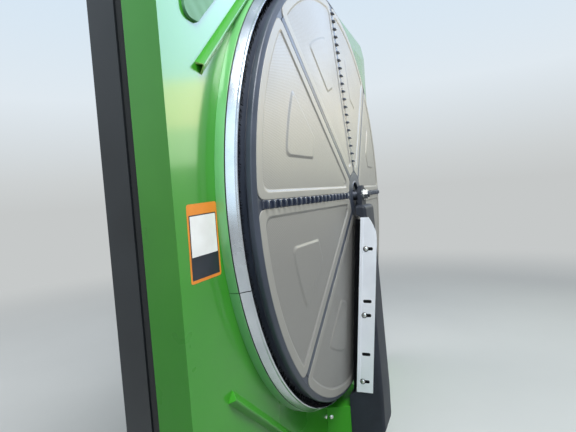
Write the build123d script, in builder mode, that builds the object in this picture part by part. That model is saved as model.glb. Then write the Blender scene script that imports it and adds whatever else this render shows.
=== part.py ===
"""Rotary air screen door of a combine harvester.

The hinged door closes the radiator's air box on the side of the machine. A shallow conical
screen turns in its opening, driven by a belt behind the panel, and a fixed suction duct
stands in front of the screen and draws the chaff off it.

Millimetres. X runs to the right seen from outside, Y from the outside into the machine,
Z upwards. The origin is on the screen's axis, in the rear face of the mounting frame.
"""

import os
from math import asin, atan2, cos, hypot, radians, sin

from build123d import *

os.makedirs("parts", exist_ok=True)

# Screen's size, which sets the door's, and the main planes along its axis
ROTOR_R = 635.0            # front corner of the rim
RIM_Y = -220.0             # plane of that corner
PANEL_Y = RIM_Y + 63       # front face of the door's sheet
FLANGE_REAR_Y = PANEL_Y + 72      # rear edge of the door's turned-back sides

# Door and mounting frame
LEFT_X, RIGHT_X = -ROTOR_R - 160, ROTOR_R + 203
BOTTOM_Z, TOP_Z = -ROTOR_R - 255, ROTOR_R + 117
SHEET = 3.0
LIP_W = 30.0               # inward lip at the rear of the sides
DOOR_CORNER_R = 12.0
TOP_FOLD_W, TOP_FOLD_DROP = 84.0, 16.0        # sloping strip along the top edge
SIDE_FOLD_W, SIDE_FOLD_DROP = 78.0, 3.0       # sloping strip along the hinge edge
FRAME_DEPTH = 60.0
FRAME_INSET = 8.0          # frame's outline inside the door's outline
FRAME_WALL = 6.0
FRAME_FRONT_W = 34.0
RAIL_LEFT_W, RAIL_RIGHT_W = 62.0, 90.0
RAIL_END_W = 58.0
SEAL_W = 17.0
SEAT_GAP = 0.3             # soft seals and running faces
BOLT_X, BOLT_Z_OUTER, BOLT_Z_INNER = ROTOR_R + 125, 600.0, 200.0
FRAME_BOLT_R = 6.5

# Rotating screen
RIM_DEPTH = 98.0
RIM_SIDE_R = ROTOR_R - 6
RIM_INNER_R = RIM_SIDE_R - 24
RIM_STEP_Y = 16.0          # from the front corner to the step in the side
SEG_R = ROTOR_R - 13       # outer edge of the screen segments
LEDGE_W = 20.0             # ledge under the segments' outer edge
FACE_STEP = 5.7            # segments' outer edge stands ahead of the rim corner
CONE_RISE = 49.0           # from the segments' outer edge to the axis
SEG_T = 2.0
SEG_GAP = 0.5
HUB_R = 74.0
HUB_T = 10.0
HUB_STEP, HUB_LEDGE = 1.0, 8.0            # step and ledge round the hub disc
HUB_HOLE_R = 40.0
SPOKE_DEPTH = 27.0
WIDE_HALF, NARROW_HALF = 9.0, 8.6       # half widths of ribbed and plain spokes
LEDGE_SIDE, LEDGE_T = 12.0, 4.0         # ledges under the segments beside each spoke
CORNER_OUTER_R, CORNER_INNER_R = 28.0, 10.0
FIELD_INSET, FIELD_DEPTH = 24.0, 3.0      # field pressed into each segment, inside a flat margin
RIBBED_MARGIN, PLAIN_MARGIN = 17.5, 24.0  # margin beside a ribbed and a plain spoke
FIELD_CORNERS = (28.0, 10.0, 8.0)         # radii: rim at the ribbed spoke, rim at the plain spoke, hub
PAD_INSET, PAD_MARGIN, PAD_H = 130.0, 96.5, 2.4          # pad raised from the middle of the field
PAD_CORNERS = (22.0, 16.0, 9.0)
PAD_START_R = 347.0
RIDGE_H, RIDGE_BASE_H = 9.0, 1.0
RIDGE_PITCH, RIDGE_GAP = 25.4, 5.8
RIDGE_START_R = HUB_R + 19
RIDGE_FIRST_GAP = 18.2     # from the ridge's inner end to the middle of its first gap
RIDGE_END_R = SEG_R - 16
GROOVE_Y, GROOVE_W, GROOVE_DEPTH = RIM_Y + 80, 13.0, 12.0

# Ring round the opening
COLLAR_R = ROTOR_R + 32    # collar's foot on the panel
COLLAR_FRONT_Y, COLLAR_SLOPE, COLLAR_T = RIM_Y + 43.5, 2.0, 2.5
OPENING_R = COLLAR_R - 8
BAND_R_FRONT, BAND_Y_FRONT = ROTOR_R + 16, RIM_Y + 21
BAND_Y_REAR, BAND_T = RIM_Y + 41, 1.5
BAND_STEP, SKIRT_DEPTH = 1.3, 11.0       # band's skirt is set in and reaches into the collar
BRUSH_Y_FRONT, BRUSH_Y_REAR = RIM_Y + 24, RIM_Y + 36
SEAM_ANGLE, SEAM_W = 195.0, 1.2

# Corner ribs on the panel: angle of each rib's foot, its distance and half length
RIB_BASE, RIB_H, RIB_T = 28.0, 17.0, 2.5
RIB_NOSE_R, RIB_LEAN = 4.0, 5.0          # the ridge leans away from the opening
UPPER_RIB = (45.0, COLLAR_R + 6, 302.0)
LOWER_RIB = (48.3, COLLAR_R + 57, 254.0)

# Raised vent plate in the panel's upper left corner
VENT_LEFT_X, VENT_LOW_Z, VENT_TOP_Z = LEFT_X + 69, 346.0, TOP_Z - TOP_FOLD_W - 18
VENT_LOW_W, VENT_CORNERS = 40.0, (20.0, 12.0)     # radii of the lower left corner and of the upper ones
VENT_H, VENT_T = 6.0, 1.5

# Suction duct in front of the screen, and the raised seat it stands on
DUCT_HALF_W = 63.5
DUCT_WALL = 4.0
DUCT_TOP_Z, DUCT_LOW_Z = -33.0, -ROTOR_R - 16
DUCT_FRONT_TOP_Y, DUCT_FRONT_LOW_Y = RIM_Y - 94, RIM_Y - 113
MOUTH_TOP_Z, MOUTH_LOW_Z = -71.0, -ROTOR_R - 1
MOUTH_TOP_Y, MOUTH_LOW_Y = RIM_Y - 77, RIM_Y - 29
DUCT_SEAT_Y = RIM_Y - 3
DUCT_SEAT_TOP_Z, DUCT_BEND_Z, DUCT_FOOT_Z = -ROTOR_R - 20, -ROTOR_R - 148, -ROTOR_R - 227
DUCT_TOP_R, DUCT_BEND_R, DUCT_EDGE_R = 14.0, 60.0, 10.0
DUCT_STEP = 10.0           # rise from the mouth's top edge to the duct's upper rear
TAB_R, TAB_FRONT_Y, TAB_T = 30.0, RIM_Y - 76, 14.0
PLATE_W, PLATE_T = 52.0, 3.0
PLATE_TOP_W, PLATE_CURVE = 24.5, 70.0    # plate's narrow top and the height of its curved corner
HEM_W, HEM_T = 9.5, 1.5
SLOT_Z = (-170.0, -337.5, -382.5, -509.5, -599.5)
SLOT_L, SLOT_W, SLOT_OFFSET = 27.0, 7.5, 27.5
STRIP_T, STRIP_HOLD = 6.0, 7.0
STRIP_CLEAR = 1.5
SADDLE_TOP_Z = -ROTOR_R - 55
SADDLE_BASE_HALF_W = 112.0
SADDLE_T = 3.0
SPIGOT_Z, SPIGOT_R, SPIGOT_WALL = -ROTOR_R - 127, 55.0, 3.0
SPIGOT_REAR_Y = -30.0
SPIGOT_FLANGE = 136.0

# Axle, cross member and hub bearing
CROSS_H, CROSS_DEPTH, CROSS_FRONT_Y = 80.0, 40.0, RIM_Y + 106
CROSS_END_GAP = 36.0
CROSS_WALL = 4.0
LEG_W = 56.0
SHAFT_R, SHAFT_FLANGE_R = 17.5, 42.0
STUD_R = 10.0
BEARING_CLEAR = 0.05
HOUSING_R, HOUSING_REAR_Y = 45.0, RIM_Y + 70
NUT_R = 17.0

# Hinges, latch
HINGE_OUT = 24.0
HINGE_Y = (PANEL_Y + FLANGE_REAR_Y) / 2
HINGE_Z = (TOP_Z - 212, (TOP_Z + BOTTOM_Z) / 2 - 17, BOTTOM_Z + 178)
KNUCKLE_R, PIN_R = 13.0, 8.0
KNUCKLE_HALF, LUG_H, LUG_GAP = 17.5, 25.0, 2.5
HINGE_ARM = 20.0
LATCH_Z, LATCH_HALF_W, LATCH_HALF_H = -200.0, 14.0, 24.0
LATCH_CLEAR, LATCH_REAR_Y, LATCH_SLOT_DEPTH = 6.0, -34.0, 20.0
STRIKER_R, LUG_DEPTH = 5.0, 24.0

# Belt drive behind the panel: centre x, centre z and running radius of each pulley
BELT_T, BELT_W = 9.0, 11.0
DRIVE_X, DRIVE_Z, DRIVE_R = ROTOR_R + 5, ROTOR_R - 45, 52.0
GUIDE_DROP, TENSION_DROP, TENSION_OUT = 290.0, 420.0, 85.0
GUIDE_X, GUIDE_Z, GUIDE_R = DRIVE_X, DRIVE_Z - GUIDE_DROP, 40.0
TENSION_X, TENSION_Z, TENSION_R = DRIVE_X + TENSION_OUT, DRIVE_Z - TENSION_DROP, 44.0
PULLEY_FLANGE, PULLEY_HALF_W = 11.0, 9.0
DRIVE_PLATE_Y, DRIVE_PLATE_T = RIM_Y + RIM_DEPTH + 4, 4.0
PLATE_EDGE = 18.0          # plate round each standoff
STUB_R = 8.0
DRIVE_SHAFT_R, DRIVE_END_R = 12.5, 12.0
DRIVE_END_Y, DRIVE_SHAFT_REAR_Y = FLANGE_REAR_Y + 1, -30.0
BEARING_R, BEARING_BOSS_R = 42.0, 28.0
STANDOFF_R = 9.0
STANDOFFS = ((DRIVE_X - 80, DRIVE_Z + 100), (DRIVE_X + 50, DRIVE_Z - 140),
             (TENSION_X + 63, TENSION_Z + 130), (GUIDE_X, GUIDE_Z - 95))


def at_depth(y):
    """Sketch plane facing the front at depth y: sketch x is X and sketch y is Z."""
    return Plane.XZ.offset(-y)


def turned(angle):
    """Location turned about the screen's axis, from +X towards +Z."""
    return Location((0, 0, 0), (0, -angle, 0))


def cone_y(radius, lift=0.0):
    """Depth of the screen's face at a radius, or of a surface that stands ahead of it."""
    return RIM_Y - FACE_STEP - CONE_RISE * (1 - radius / SEG_R) - lift


def cone_shell(lift_front, lift_rear):
    """Ring of cone between two surfaces parallel to the screen's face."""
    inner, outer = HUB_HOLE_R, ROTOR_R
    with BuildPart() as shell:
        with BuildSketch(Plane.XY):
            with BuildLine():
                Polyline((inner, cone_y(inner, lift_front)), (outer, cone_y(outer, lift_front)),
                         (outer, cone_y(outer, lift_rear)), (inner, cone_y(inner, lift_rear)), close=True)
            make_face()
        revolve(axis=Axis.Y)
    return shell.part


def ring_of(points):
    """Solid of revolution about the screen's axis from (radius, y) points."""
    with BuildPart() as ring:
        with BuildSketch(Plane.XY):
            with BuildLine():
                Polyline(*points, close=True)
            make_face()
        revolve(axis=Axis.Y)
    return ring.part


def prism_x(points, x_low, x_high):
    """Solid between two X values from an outline of (y, z) points."""
    with BuildPart() as prism:
        with BuildSketch(Plane.YZ.offset(x_low)):
            with BuildLine():
                Polyline(*points, close=True)
            make_face()
        extrude(amount=x_high - x_low)
    return prism.part


def keep(builder, label):
    """Label a finished piece and write its STEP file."""
    builder.part.label = label
    export_step(builder.part, f"parts/{label}.step")


# Mounting frame: a channel all round, open inwards, with bolt holes in its rear flange
frame_x = (LEFT_X + FRAME_INSET, RIGHT_X - FRAME_INSET)
frame_z = (BOTTOM_Z + FRAME_INSET, TOP_Z - FRAME_INSET)


def frame_window(left, right, ends):
    """Rectangle inside the frame's outline, set in by the widths given."""
    x_low, x_high = frame_x[0] + left, frame_x[1] - right
    z_low, z_high = frame_z[0] + ends, frame_z[1] - ends
    with Locations(((x_low + x_high) / 2, (z_low + z_high) / 2)):
        return Rectangle(x_high - x_low, z_high - z_low, mode=Mode.PRIVATE)


with BuildPart() as mounting_frame:
    with BuildSketch(at_depth(-FRAME_DEPTH)):
        add(frame_window(0, 0, 0))
        add(frame_window(FRAME_WALL, FRAME_WALL, FRAME_WALL), mode=Mode.SUBTRACT)
    extrude(amount=-FRAME_DEPTH)
    with BuildSketch(at_depth(-FRAME_DEPTH)):
        add(frame_window(0, 0, 0))
        add(frame_window(FRAME_FRONT_W, FRAME_FRONT_W, FRAME_FRONT_W), mode=Mode.SUBTRACT)
    extrude(amount=-FRAME_WALL)
    with BuildSketch(at_depth(-FRAME_WALL)):
        add(frame_window(0, 0, 0))
        add(frame_window(RAIL_LEFT_W, RAIL_RIGHT_W, RAIL_END_W), mode=Mode.SUBTRACT)
    extrude(amount=-FRAME_WALL)
    with BuildSketch(at_depth(-FRAME_WALL)):
        with Locations(*[(x, z) for x in (-BOLT_X, BOLT_X)
                         for z in (-BOLT_Z_OUTER, -BOLT_Z_INNER, BOLT_Z_INNER, BOLT_Z_OUTER)]):
            Circle(FRAME_BOLT_R)
    extrude(amount=-FRAME_WALL, mode=Mode.SUBTRACT)
keep(mounting_frame, "mounting_frame")

# Rubber seal on the frame's front flange, pressed by the door's lip
seal_front_y = FLANGE_REAR_Y + SEAT_GAP
with BuildPart() as frame_seal:
    with BuildSketch(at_depth(-FRAME_DEPTH)):
        add(frame_window(2, 2, 2))
        add(frame_window(2 + SEAL_W, 2 + SEAL_W, 2 + SEAL_W), mode=Mode.SUBTRACT)
    extrude(amount=-FRAME_DEPTH - seal_front_y)
keep(frame_seal, "frame_seal")

# Fixed hinge lugs on the frame's right side, and the pins they hold
hinge_x = RIGHT_X + HINGE_OUT
lug_low = KNUCKLE_HALF + LUG_GAP
with BuildPart() as hinge_lugs:
    for z in HINGE_Z:
        for low in (z + lug_low, z - lug_low - LUG_H):
            with BuildSketch(Plane.XY.offset(low)):
                with Locations((hinge_x, HINGE_Y)):
                    Circle(KNUCKLE_R)
                with BuildLine():
                    Polyline((hinge_x - HINGE_ARM / 2, HINGE_Y), (hinge_x + HINGE_ARM / 2, HINGE_Y),
                             (hinge_x + HINGE_ARM / 2, -FRAME_WALL), (frame_x[1], -FRAME_WALL),
                             (frame_x[1], 2 - FRAME_DEPTH), (hinge_x - HINGE_ARM / 2, 2 - FRAME_DEPTH),
                             close=True)
                make_face()
                with Locations((hinge_x, HINGE_Y)):
                    Circle(PIN_R + BEARING_CLEAR, mode=Mode.SUBTRACT)
            extrude(amount=LUG_H)
keep(hinge_lugs, "hinge_lugs")

with BuildPart() as hinge_pins:
    for z in HINGE_Z:
        with BuildSketch(Plane.XY.offset(z - lug_low - LUG_H - 3)):
            with Locations((hinge_x, HINGE_Y)):
                Circle(PIN_R)
        extrude(amount=2 * (lug_low + LUG_H) + 3)
        with BuildSketch(Plane.XY.offset(z + lug_low + LUG_H)):
            with Locations((hinge_x, HINGE_Y)):
                Circle(KNUCKLE_R - 1)
        extrude(amount=6)
keep(hinge_pins, "hinge_pins")

# Door panel: front sheet with the round opening, turned-back sides and a rear lip
door_size = (RIGHT_X - LEFT_X, TOP_Z - BOTTOM_Z)
door_centre = ((LEFT_X + RIGHT_X) / 2, (BOTTOM_Z + TOP_Z) / 2)


def door_outline(inset):
    """Rounded rectangle of the door, set in by a distance."""
    with Locations(door_centre):
        return RectangleRounded(door_size[0] - 2 * inset, door_size[1] - 2 * inset,
                                max(DOOR_CORNER_R - inset, 1), mode=Mode.PRIVATE)


def fold_wedges(inset):
    """All that lies ahead of the sloping strips, moved back by an inset."""
    front = PANEL_Y + inset
    far = 2 * TOP_FOLD_W
    with BuildPart() as wedges:
        add(prism_x([(front, TOP_Z - TOP_FOLD_W), (front - far, TOP_Z - TOP_FOLD_W), (front - far, TOP_Z + far),
                     (front + TOP_FOLD_DROP * (1 + far / TOP_FOLD_W), TOP_Z + far)], LEFT_X - far, RIGHT_X + far))
        with BuildSketch(Plane.XY.offset(BOTTOM_Z - far)):
            with BuildLine():
                Polyline((RIGHT_X - SIDE_FOLD_W, front), (RIGHT_X - SIDE_FOLD_W, front - far),
                         (RIGHT_X + far, front - far),
                         (RIGHT_X + far, front + SIDE_FOLD_DROP * (1 + far / SIDE_FOLD_W)), close=True)
            make_face()
        extrude(amount=TOP_Z - BOTTOM_Z + 2 * far)
    return wedges.part


side_depth = FLANGE_REAR_Y - PANEL_Y
panel_rear_y = PANEL_Y + SHEET
with BuildPart() as door_pocket:
    with BuildSketch(at_depth(panel_rear_y)):
        add(door_outline(SHEET))
    extrude(amount=-(side_depth - 2 * SHEET))
    add(fold_wedges(SHEET), mode=Mode.SUBTRACT)
with BuildPart() as door_panel:
    with BuildSketch(at_depth(PANEL_Y)):
        add(door_outline(0))
    extrude(amount=-side_depth)
    add(fold_wedges(0), mode=Mode.SUBTRACT)
    add(door_pocket.part, mode=Mode.SUBTRACT)
    with BuildSketch(at_depth(FLANGE_REAR_Y)):
        add(door_outline(LIP_W))
    extrude(amount=SHEET, mode=Mode.SUBTRACT)
    with BuildSketch(at_depth(PANEL_Y)):
        Circle(OPENING_R)
        with Locations((0, SPIGOT_Z)):
            Circle(SPIGOT_R - SPIGOT_WALL)
    extrude(amount=-SHEET, mode=Mode.SUBTRACT)
keep(door_panel, "door_panel")


# Seam slot that runs through the collar and the band at one place
def seam_slot(inner, outer):
    """Thin radial block that cuts the joint between two radii."""
    middle = (inner + outer) / 2
    with BuildPart() as slot:
        with BuildSketch(at_depth(BAND_Y_FRONT - 5)):
            with Locations((cos(radians(SEAM_ANGLE)) * middle, sin(radians(SEAM_ANGLE)) * middle)):
                Rectangle(outer - inner, SEAM_W, rotation=SEAM_ANGLE)
        extrude(amount=-(PANEL_Y - BAND_Y_FRONT + 10))
    return slot.part


# Sheet collar that stands on the panel round the opening
collar_front_r = COLLAR_R - COLLAR_SLOPE
with BuildPart() as opening_collar:
    add(ring_of([(collar_front_r - COLLAR_T, COLLAR_FRONT_Y), (collar_front_r, COLLAR_FRONT_Y),
                 (COLLAR_R, PANEL_Y), (COLLAR_R - COLLAR_T, PANEL_Y)]))
    add(seam_slot(OPENING_R, COLLAR_R + SHEET), mode=Mode.SUBTRACT)
keep(opening_collar, "opening_collar")

# Bright stainless band ahead of the collar, with a skirt that fits inside it
skirt_r = collar_front_r - COLLAR_T - SEAT_GAP
band_rear_r = skirt_r - BAND_T
with BuildPart() as seal_band:
    add(ring_of([(BAND_R_FRONT, BAND_Y_FRONT), (BAND_R_FRONT + BAND_T, BAND_Y_FRONT),
                 (skirt_r + BAND_STEP, BAND_Y_REAR), (skirt_r, BAND_Y_REAR),
                 (skirt_r, BAND_Y_REAR + SKIRT_DEPTH), (band_rear_r, BAND_Y_REAR + SKIRT_DEPTH),
                 (band_rear_r, BAND_Y_REAR)]))
    add(seam_slot(BAND_R_FRONT - SHEET, COLLAR_R), mode=Mode.SUBTRACT)
keep(seal_band, "seal_band")

# Bristle ring that closes the gap between the band and the rim's side
band_slope = (band_rear_r - BAND_R_FRONT) / (BAND_Y_REAR - BAND_Y_FRONT)


def band_inner_r(y):
    """Inside radius of the band at a depth."""
    return BAND_R_FRONT + band_slope * (y - BAND_Y_FRONT) - SEAT_GAP


brush_inner_r = RIM_SIDE_R + SEAT_GAP
with BuildPart() as brush_ring:
    add(ring_of([(brush_inner_r, BRUSH_Y_FRONT), (band_inner_r(BRUSH_Y_FRONT), BRUSH_Y_FRONT),
                 (band_inner_r(BRUSH_Y_REAR), BRUSH_Y_REAR), (brush_inner_r, BRUSH_Y_REAR)]))
keep(brush_ring, "brush_ring")

# Folded stiffening ribs across the panel's corners, cut to the collar; the lower two are closed at the ends
collar_room = ring_of([(0, COLLAR_FRONT_Y), (collar_front_r + SEAT_GAP, COLLAR_FRONT_Y),
                       (COLLAR_R + SEAT_GAP, PANEL_Y), (0, PANEL_Y)])


def rib_wedge(distance, half_base, height, nose_r, half_length):
    """Solid three-sided bar along Z at a distance from the axis, with a leaning, rounded ridge."""
    with BuildPart() as wedge:
        with BuildSketch(Plane.XY) as section:
            with BuildLine():
                Polyline((distance - half_base, PANEL_Y), (distance + RIB_LEAN, PANEL_Y - height),
                         (distance + half_base, PANEL_Y), close=True)
            make_face()
            fillet(section.vertices().sort_by(Axis.Y)[0], nose_r)
        extrude(amount=half_length, both=True)
    return wedge.part


RIBS = (("upper_right", 0, 1, UPPER_RIB), ("upper_left", 180, -1, UPPER_RIB),
        ("lower_left", 180, 1, LOWER_RIB), ("lower_right", 360, -1, LOWER_RIB))
for corner, base_angle, sign, (angle, distance, half_length) in RIBS:
    hollow_half = half_length - RIB_T if corner.startswith("lower") else half_length + RIB_T
    with BuildPart() as corner_rib:
        add(rib_wedge(distance, RIB_BASE / 2, RIB_H, RIB_NOSE_R, half_length))
        add(rib_wedge(distance, RIB_BASE / 2 - 2 * RIB_T, RIB_H - 1.3 * RIB_T, RIB_NOSE_R - RIB_T, hollow_half),
            mode=Mode.SUBTRACT)
        add(collar_room, mode=Mode.SUBTRACT)
    placed = turned(base_angle + sign * angle) * corner_rib.part
    placed.label = f"corner_rib_{corner}"
    export_step(placed, f"parts/corner_rib_{corner}.step")


# Raised vent plate that fills the panel's upper left corner, hollow behind
def vent_outline(inset):
    """Corner plate with its long side at 45 degrees, set in by a distance."""
    diagonal = inset * (2 ** 0.5 - 1)
    low, left, top = VENT_LOW_Z + inset, VENT_LEFT_X + inset, VENT_TOP_Z - inset
    slope_x = VENT_LEFT_X + VENT_LOW_W - diagonal
    low_r, top_r = VENT_CORNERS
    with BuildSketch(at_depth(PANEL_Y), mode=Mode.PRIVATE) as outline:
        with BuildLine():
            Polyline((left, low), (slope_x, low), (slope_x + top - low, top), (left, top), close=True)
        make_face()
        fillet(outline.vertices().sort_by(lambda v: v.X + v.Y)[0], low_r - inset)
        fillet(outline.vertices().group_by(Axis.Y)[-1], top_r - inset)
    return outline.sketch


with BuildPart() as corner_vent:
    add(extrude(vent_outline(0), amount=VENT_H))
    add(extrude(vent_outline(VENT_T), amount=VENT_H - VENT_T), mode=Mode.SUBTRACT)
keep(corner_vent, "corner_vent")

# Moulded screen frame: rim with its belt groove, hub disc and eight spokes
rim_rear_y = RIM_Y + RIM_DEPTH
step_y = RIM_Y + RIM_STEP_Y
ledge_in = SEG_R - LEDGE_W
groove_low, groove_high = GROOVE_Y - GROOVE_W / 2, GROOVE_Y + GROOVE_W / 2
rim_points = [
    (ledge_in, cone_y(ledge_in, -SEG_T)), (SEG_R + SEG_GAP, cone_y(SEG_R + SEG_GAP, -SEG_T)),
    (SEG_R + SEG_GAP, cone_y(SEG_R)), (ROTOR_R - 3, RIM_Y - 1.3), (ROTOR_R, RIM_Y + 1),
    (ROTOR_R, step_y - 4), (RIM_SIDE_R, step_y), (RIM_SIDE_R, groove_low - 2),
    (RIM_SIDE_R - GROOVE_DEPTH, groove_low), (RIM_SIDE_R - GROOVE_DEPTH, groove_high),
    (RIM_SIDE_R, groove_high + 2), (RIM_SIDE_R, rim_rear_y), (RIM_INNER_R, rim_rear_y),
    (RIM_INNER_R, step_y - 6), (ledge_in, cone_y(ledge_in, -SEG_T - 6)),
]
hub_front_y = cone_y(HUB_R)
hub_rear_y = hub_front_y + HUB_T


def spoke(half_width):
    """One spoke along +X: a deep web up to the face and a thin wider ledge just under the segments."""
    inner, outer = HUB_R, RIM_INNER_R + LEDGE_T
    ledge_lift = -SEG_T - SEAT_GAP
    with BuildPart() as bar:
        for half, front, rear in ((half_width, 0.0, -SPOKE_DEPTH),
                                  (half_width + LEDGE_SIDE, ledge_lift, ledge_lift - LEDGE_T)):
            with BuildSketch(Plane.XY):
                with BuildLine():
                    Polyline((inner, cone_y(inner, front)), (outer, cone_y(outer, front)),
                             (outer, cone_y(outer, rear)), (inner, cone_y(inner, rear)), close=True)
                make_face()
            extrude(amount=half, both=True)
    return bar.part


ribbed_spoke, plain_spoke = spoke(WIDE_HALF), spoke(NARROW_HALF)
with BuildPart() as rotor_frame:
    add(ring_of(rim_points))
    hub_step_r, hub_ledge_r = HUB_R + HUB_STEP, HUB_R + HUB_LEDGE
    add(ring_of([(HUB_HOLE_R, hub_front_y), (hub_step_r, hub_front_y), (hub_step_r, cone_y(hub_step_r, -SEG_T)),
                 (hub_ledge_r, cone_y(hub_ledge_r, -SEG_T)), (hub_ledge_r, hub_rear_y),
                 (HUB_HOLE_R, hub_rear_y)]))
    for turn in range(0, 360, 90):
        add(turned(turn) * ribbed_spoke)
        add(turned(turn + 45) * plain_spoke)
keep(rotor_frame, "rotor_frame")


# Screen segments: stainless sheet between two spokes, with a field pressed in and a pad raised in its middle
def segment_prism(inset, low_margin, high_margin, corners, inner_radius):
    """Long prism on the outline of the segment between +X and 45 degrees, set in by margins.

    The corner radii are those at the rim beside +X, at the rim beside 45 degrees, and at the hub.
    """
    low = WIDE_HALF + SEG_GAP + low_margin
    high = NARROW_HALF + SEG_GAP + high_margin
    outer = SEG_R - inset
    reach_low = (outer ** 2 - low ** 2) ** 0.5
    reach_high = (outer ** 2 - high ** 2) ** 0.5
    start_low = (inner_radius ** 2 - low ** 2) ** 0.5
    start_high = (inner_radius ** 2 - high ** 2) ** 0.5
    s = sin(radians(45))
    inner_low, outer_low = (start_low, low), (reach_low, low)
    inner_high = (start_high * s + high * s, start_high * s - high * s)
    outer_high = (reach_high * s + high * s, reach_high * s - high * s)
    middle = radians(22.5)
    with BuildPart() as prism:
        with BuildSketch(at_depth(hub_rear_y)) as outline:
            with BuildLine():
                Line(inner_low, outer_low)
                ThreePointArc(outer_low, (outer * cos(middle), outer * sin(middle)), outer_high)
                Line(outer_high, inner_high)
                ThreePointArc(inner_high, (inner_radius * cos(middle), inner_radius * sin(middle)), inner_low)
            make_face()
            fillet(outline.vertices().sort_by(Axis.X)[-1], corners[0])
            fillet(outline.vertices().sort_by(Axis.Y)[-1], corners[1])
            fillet(outline.vertices().sort_by(lambda v: hypot(v.X, v.Y))[:2], corners[2])
        extrude(amount=120, both=True)
    return prism.part


EDGE = (0, 0, 0, (CORNER_OUTER_R, CORNER_OUTER_R, CORNER_INNER_R), HUB_R + 2)
FIELD = (FIELD_INSET, RIBBED_MARGIN, PLAIN_MARGIN, FIELD_CORNERS, HUB_R + 28)
PAD = (PAD_INSET, PAD_MARGIN, PAD_MARGIN, PAD_CORNERS, PAD_START_R)


def step_wall(outline, low_lift, high_lift):
    """Standing wall of a pressed step, between the sheet's back at the low lift and its high face."""
    inset, low_margin, high_margin, corners, start_r = outline
    with BuildPart() as wall:
        add(segment_prism(*outline))
        add(segment_prism(inset + SEG_T, low_margin + SEG_T, high_margin + SEG_T, corners, start_r + SEG_T),
            mode=Mode.SUBTRACT)
        add(cone_shell(high_lift, low_lift - SEG_T), mode=Mode.INTERSECT)
    return wall.part


def step_sheet(outline, lift, hole):
    """Sheet inside an outline at a lift, with a hole where the next step begins."""
    with BuildPart() as face:
        add(segment_prism(*outline))
        if hole:
            add(segment_prism(*hole), mode=Mode.SUBTRACT)
        add(cone_shell(lift, lift - SEG_T), mode=Mode.INTERSECT)
    return face.part


field_lift, pad_lift = -FIELD_DEPTH, PAD_H - FIELD_DEPTH
with BuildPart() as segment:
    add(step_sheet(EDGE, 0, FIELD))
    add(step_wall(FIELD, field_lift, 0))
    add(step_sheet(FIELD, field_lift, PAD))
    add(step_wall(PAD, field_lift, pad_lift))
    add(step_sheet(PAD, pad_lift, None))
mirrored_segment = segment.part.mirror(Plane.XY)
for index in range(8):
    shape = segment.part if index % 2 == 0 else mirrored_segment
    placed = turned(90 * ((index + 1) // 2)) * shape
    placed.label = f"screen_segment_{index + 1}"
    export_step(placed, f"parts/screen_segment_{index + 1}.step")

# Toothed ridges on the ribbed spokes
ridge_half = WIDE_HALF - SEG_GAP
ridge_points = [(RIDGE_START_R, cone_y(RIDGE_START_R)), (RIDGE_START_R, cone_y(RIDGE_START_R, RIDGE_H))]
ridge_gaps = int((RIDGE_END_R - RIDGE_START_R - RIDGE_FIRST_GAP) // RIDGE_PITCH) + 1
for count in range(ridge_gaps):
    low = RIDGE_START_R + RIDGE_FIRST_GAP + RIDGE_PITCH * count - RIDGE_GAP / 2
    high = low + RIDGE_GAP
    ridge_points += [(low, cone_y(low, RIDGE_H)), (low, cone_y(low, RIDGE_BASE_H)),
                     (high, cone_y(high, RIDGE_BASE_H)), (high, cone_y(high, RIDGE_H))]
ridge_points += [(RIDGE_END_R, cone_y(RIDGE_END_R, RIDGE_H)), (RIDGE_END_R, cone_y(RIDGE_END_R))]
with BuildPart() as ridge:
    with BuildSketch(Plane.XY):
        with BuildLine():
            Polyline(*ridge_points, close=True)
        make_face()
    extrude(amount=ridge_half, both=True)
for index in range(4):
    placed = turned(90 * index) * ridge.part
    placed.label = f"spoke_ridge_{index + 1}"
    export_step(placed, f"parts/spoke_ridge_{index + 1}.step")

# Hub bearing housing, bolted behind the hub disc and turning on the fixed axle
bore_r = SHAFT_R + BEARING_CLEAR
with BuildPart() as hub_housing:
    add(ring_of([(bore_r, hub_rear_y - 4), (HUB_HOLE_R - 1, hub_rear_y - 4), (HUB_HOLE_R - 1, hub_rear_y),
                 (HUB_R - 4, hub_rear_y), (HUB_R - 4, hub_rear_y + 8), (HOUSING_R, hub_rear_y + 14),
                 (HOUSING_R, HOUSING_REAR_Y), (bore_r, HOUSING_REAR_Y)]))
keep(hub_housing, "hub_housing")

# Cross member behind the screen, on two legs from the panel's back
cross_x = (LEFT_X + CROSS_END_GAP, RIGHT_X - CROSS_END_GAP)
cross_rear_y = CROSS_FRONT_Y + CROSS_DEPTH
with BuildPart() as cross_member:
    cross_outline = [(CROSS_FRONT_Y, -CROSS_H / 2), (cross_rear_y, -CROSS_H / 2),
                     (cross_rear_y, CROSS_H / 2), (CROSS_FRONT_Y, CROSS_H / 2)]
    add(prism_x(cross_outline, *cross_x))
    w = CROSS_WALL
    add(prism_x([(CROSS_FRONT_Y + w, w - CROSS_H / 2), (cross_rear_y - w, w - CROSS_H / 2),
                 (cross_rear_y - w, CROSS_H / 2 - w), (CROSS_FRONT_Y + w, CROSS_H / 2 - w)],
                *cross_x), mode=Mode.SUBTRACT)
    for low in (cross_x[0], cross_x[1] - LEG_W):
        with BuildSketch(at_depth(CROSS_FRONT_Y)):
            with Locations((low + LEG_W / 2, 0)):
                Rectangle(LEG_W, CROSS_H)
                Rectangle(LEG_W - 2 * w, CROSS_H - 2 * w, mode=Mode.SUBTRACT)
        extrude(amount=CROSS_FRONT_Y - PANEL_Y - SHEET)
    add(fold_wedges(SHEET), mode=Mode.SUBTRACT)
keep(cross_member, "cross_member")

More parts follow.
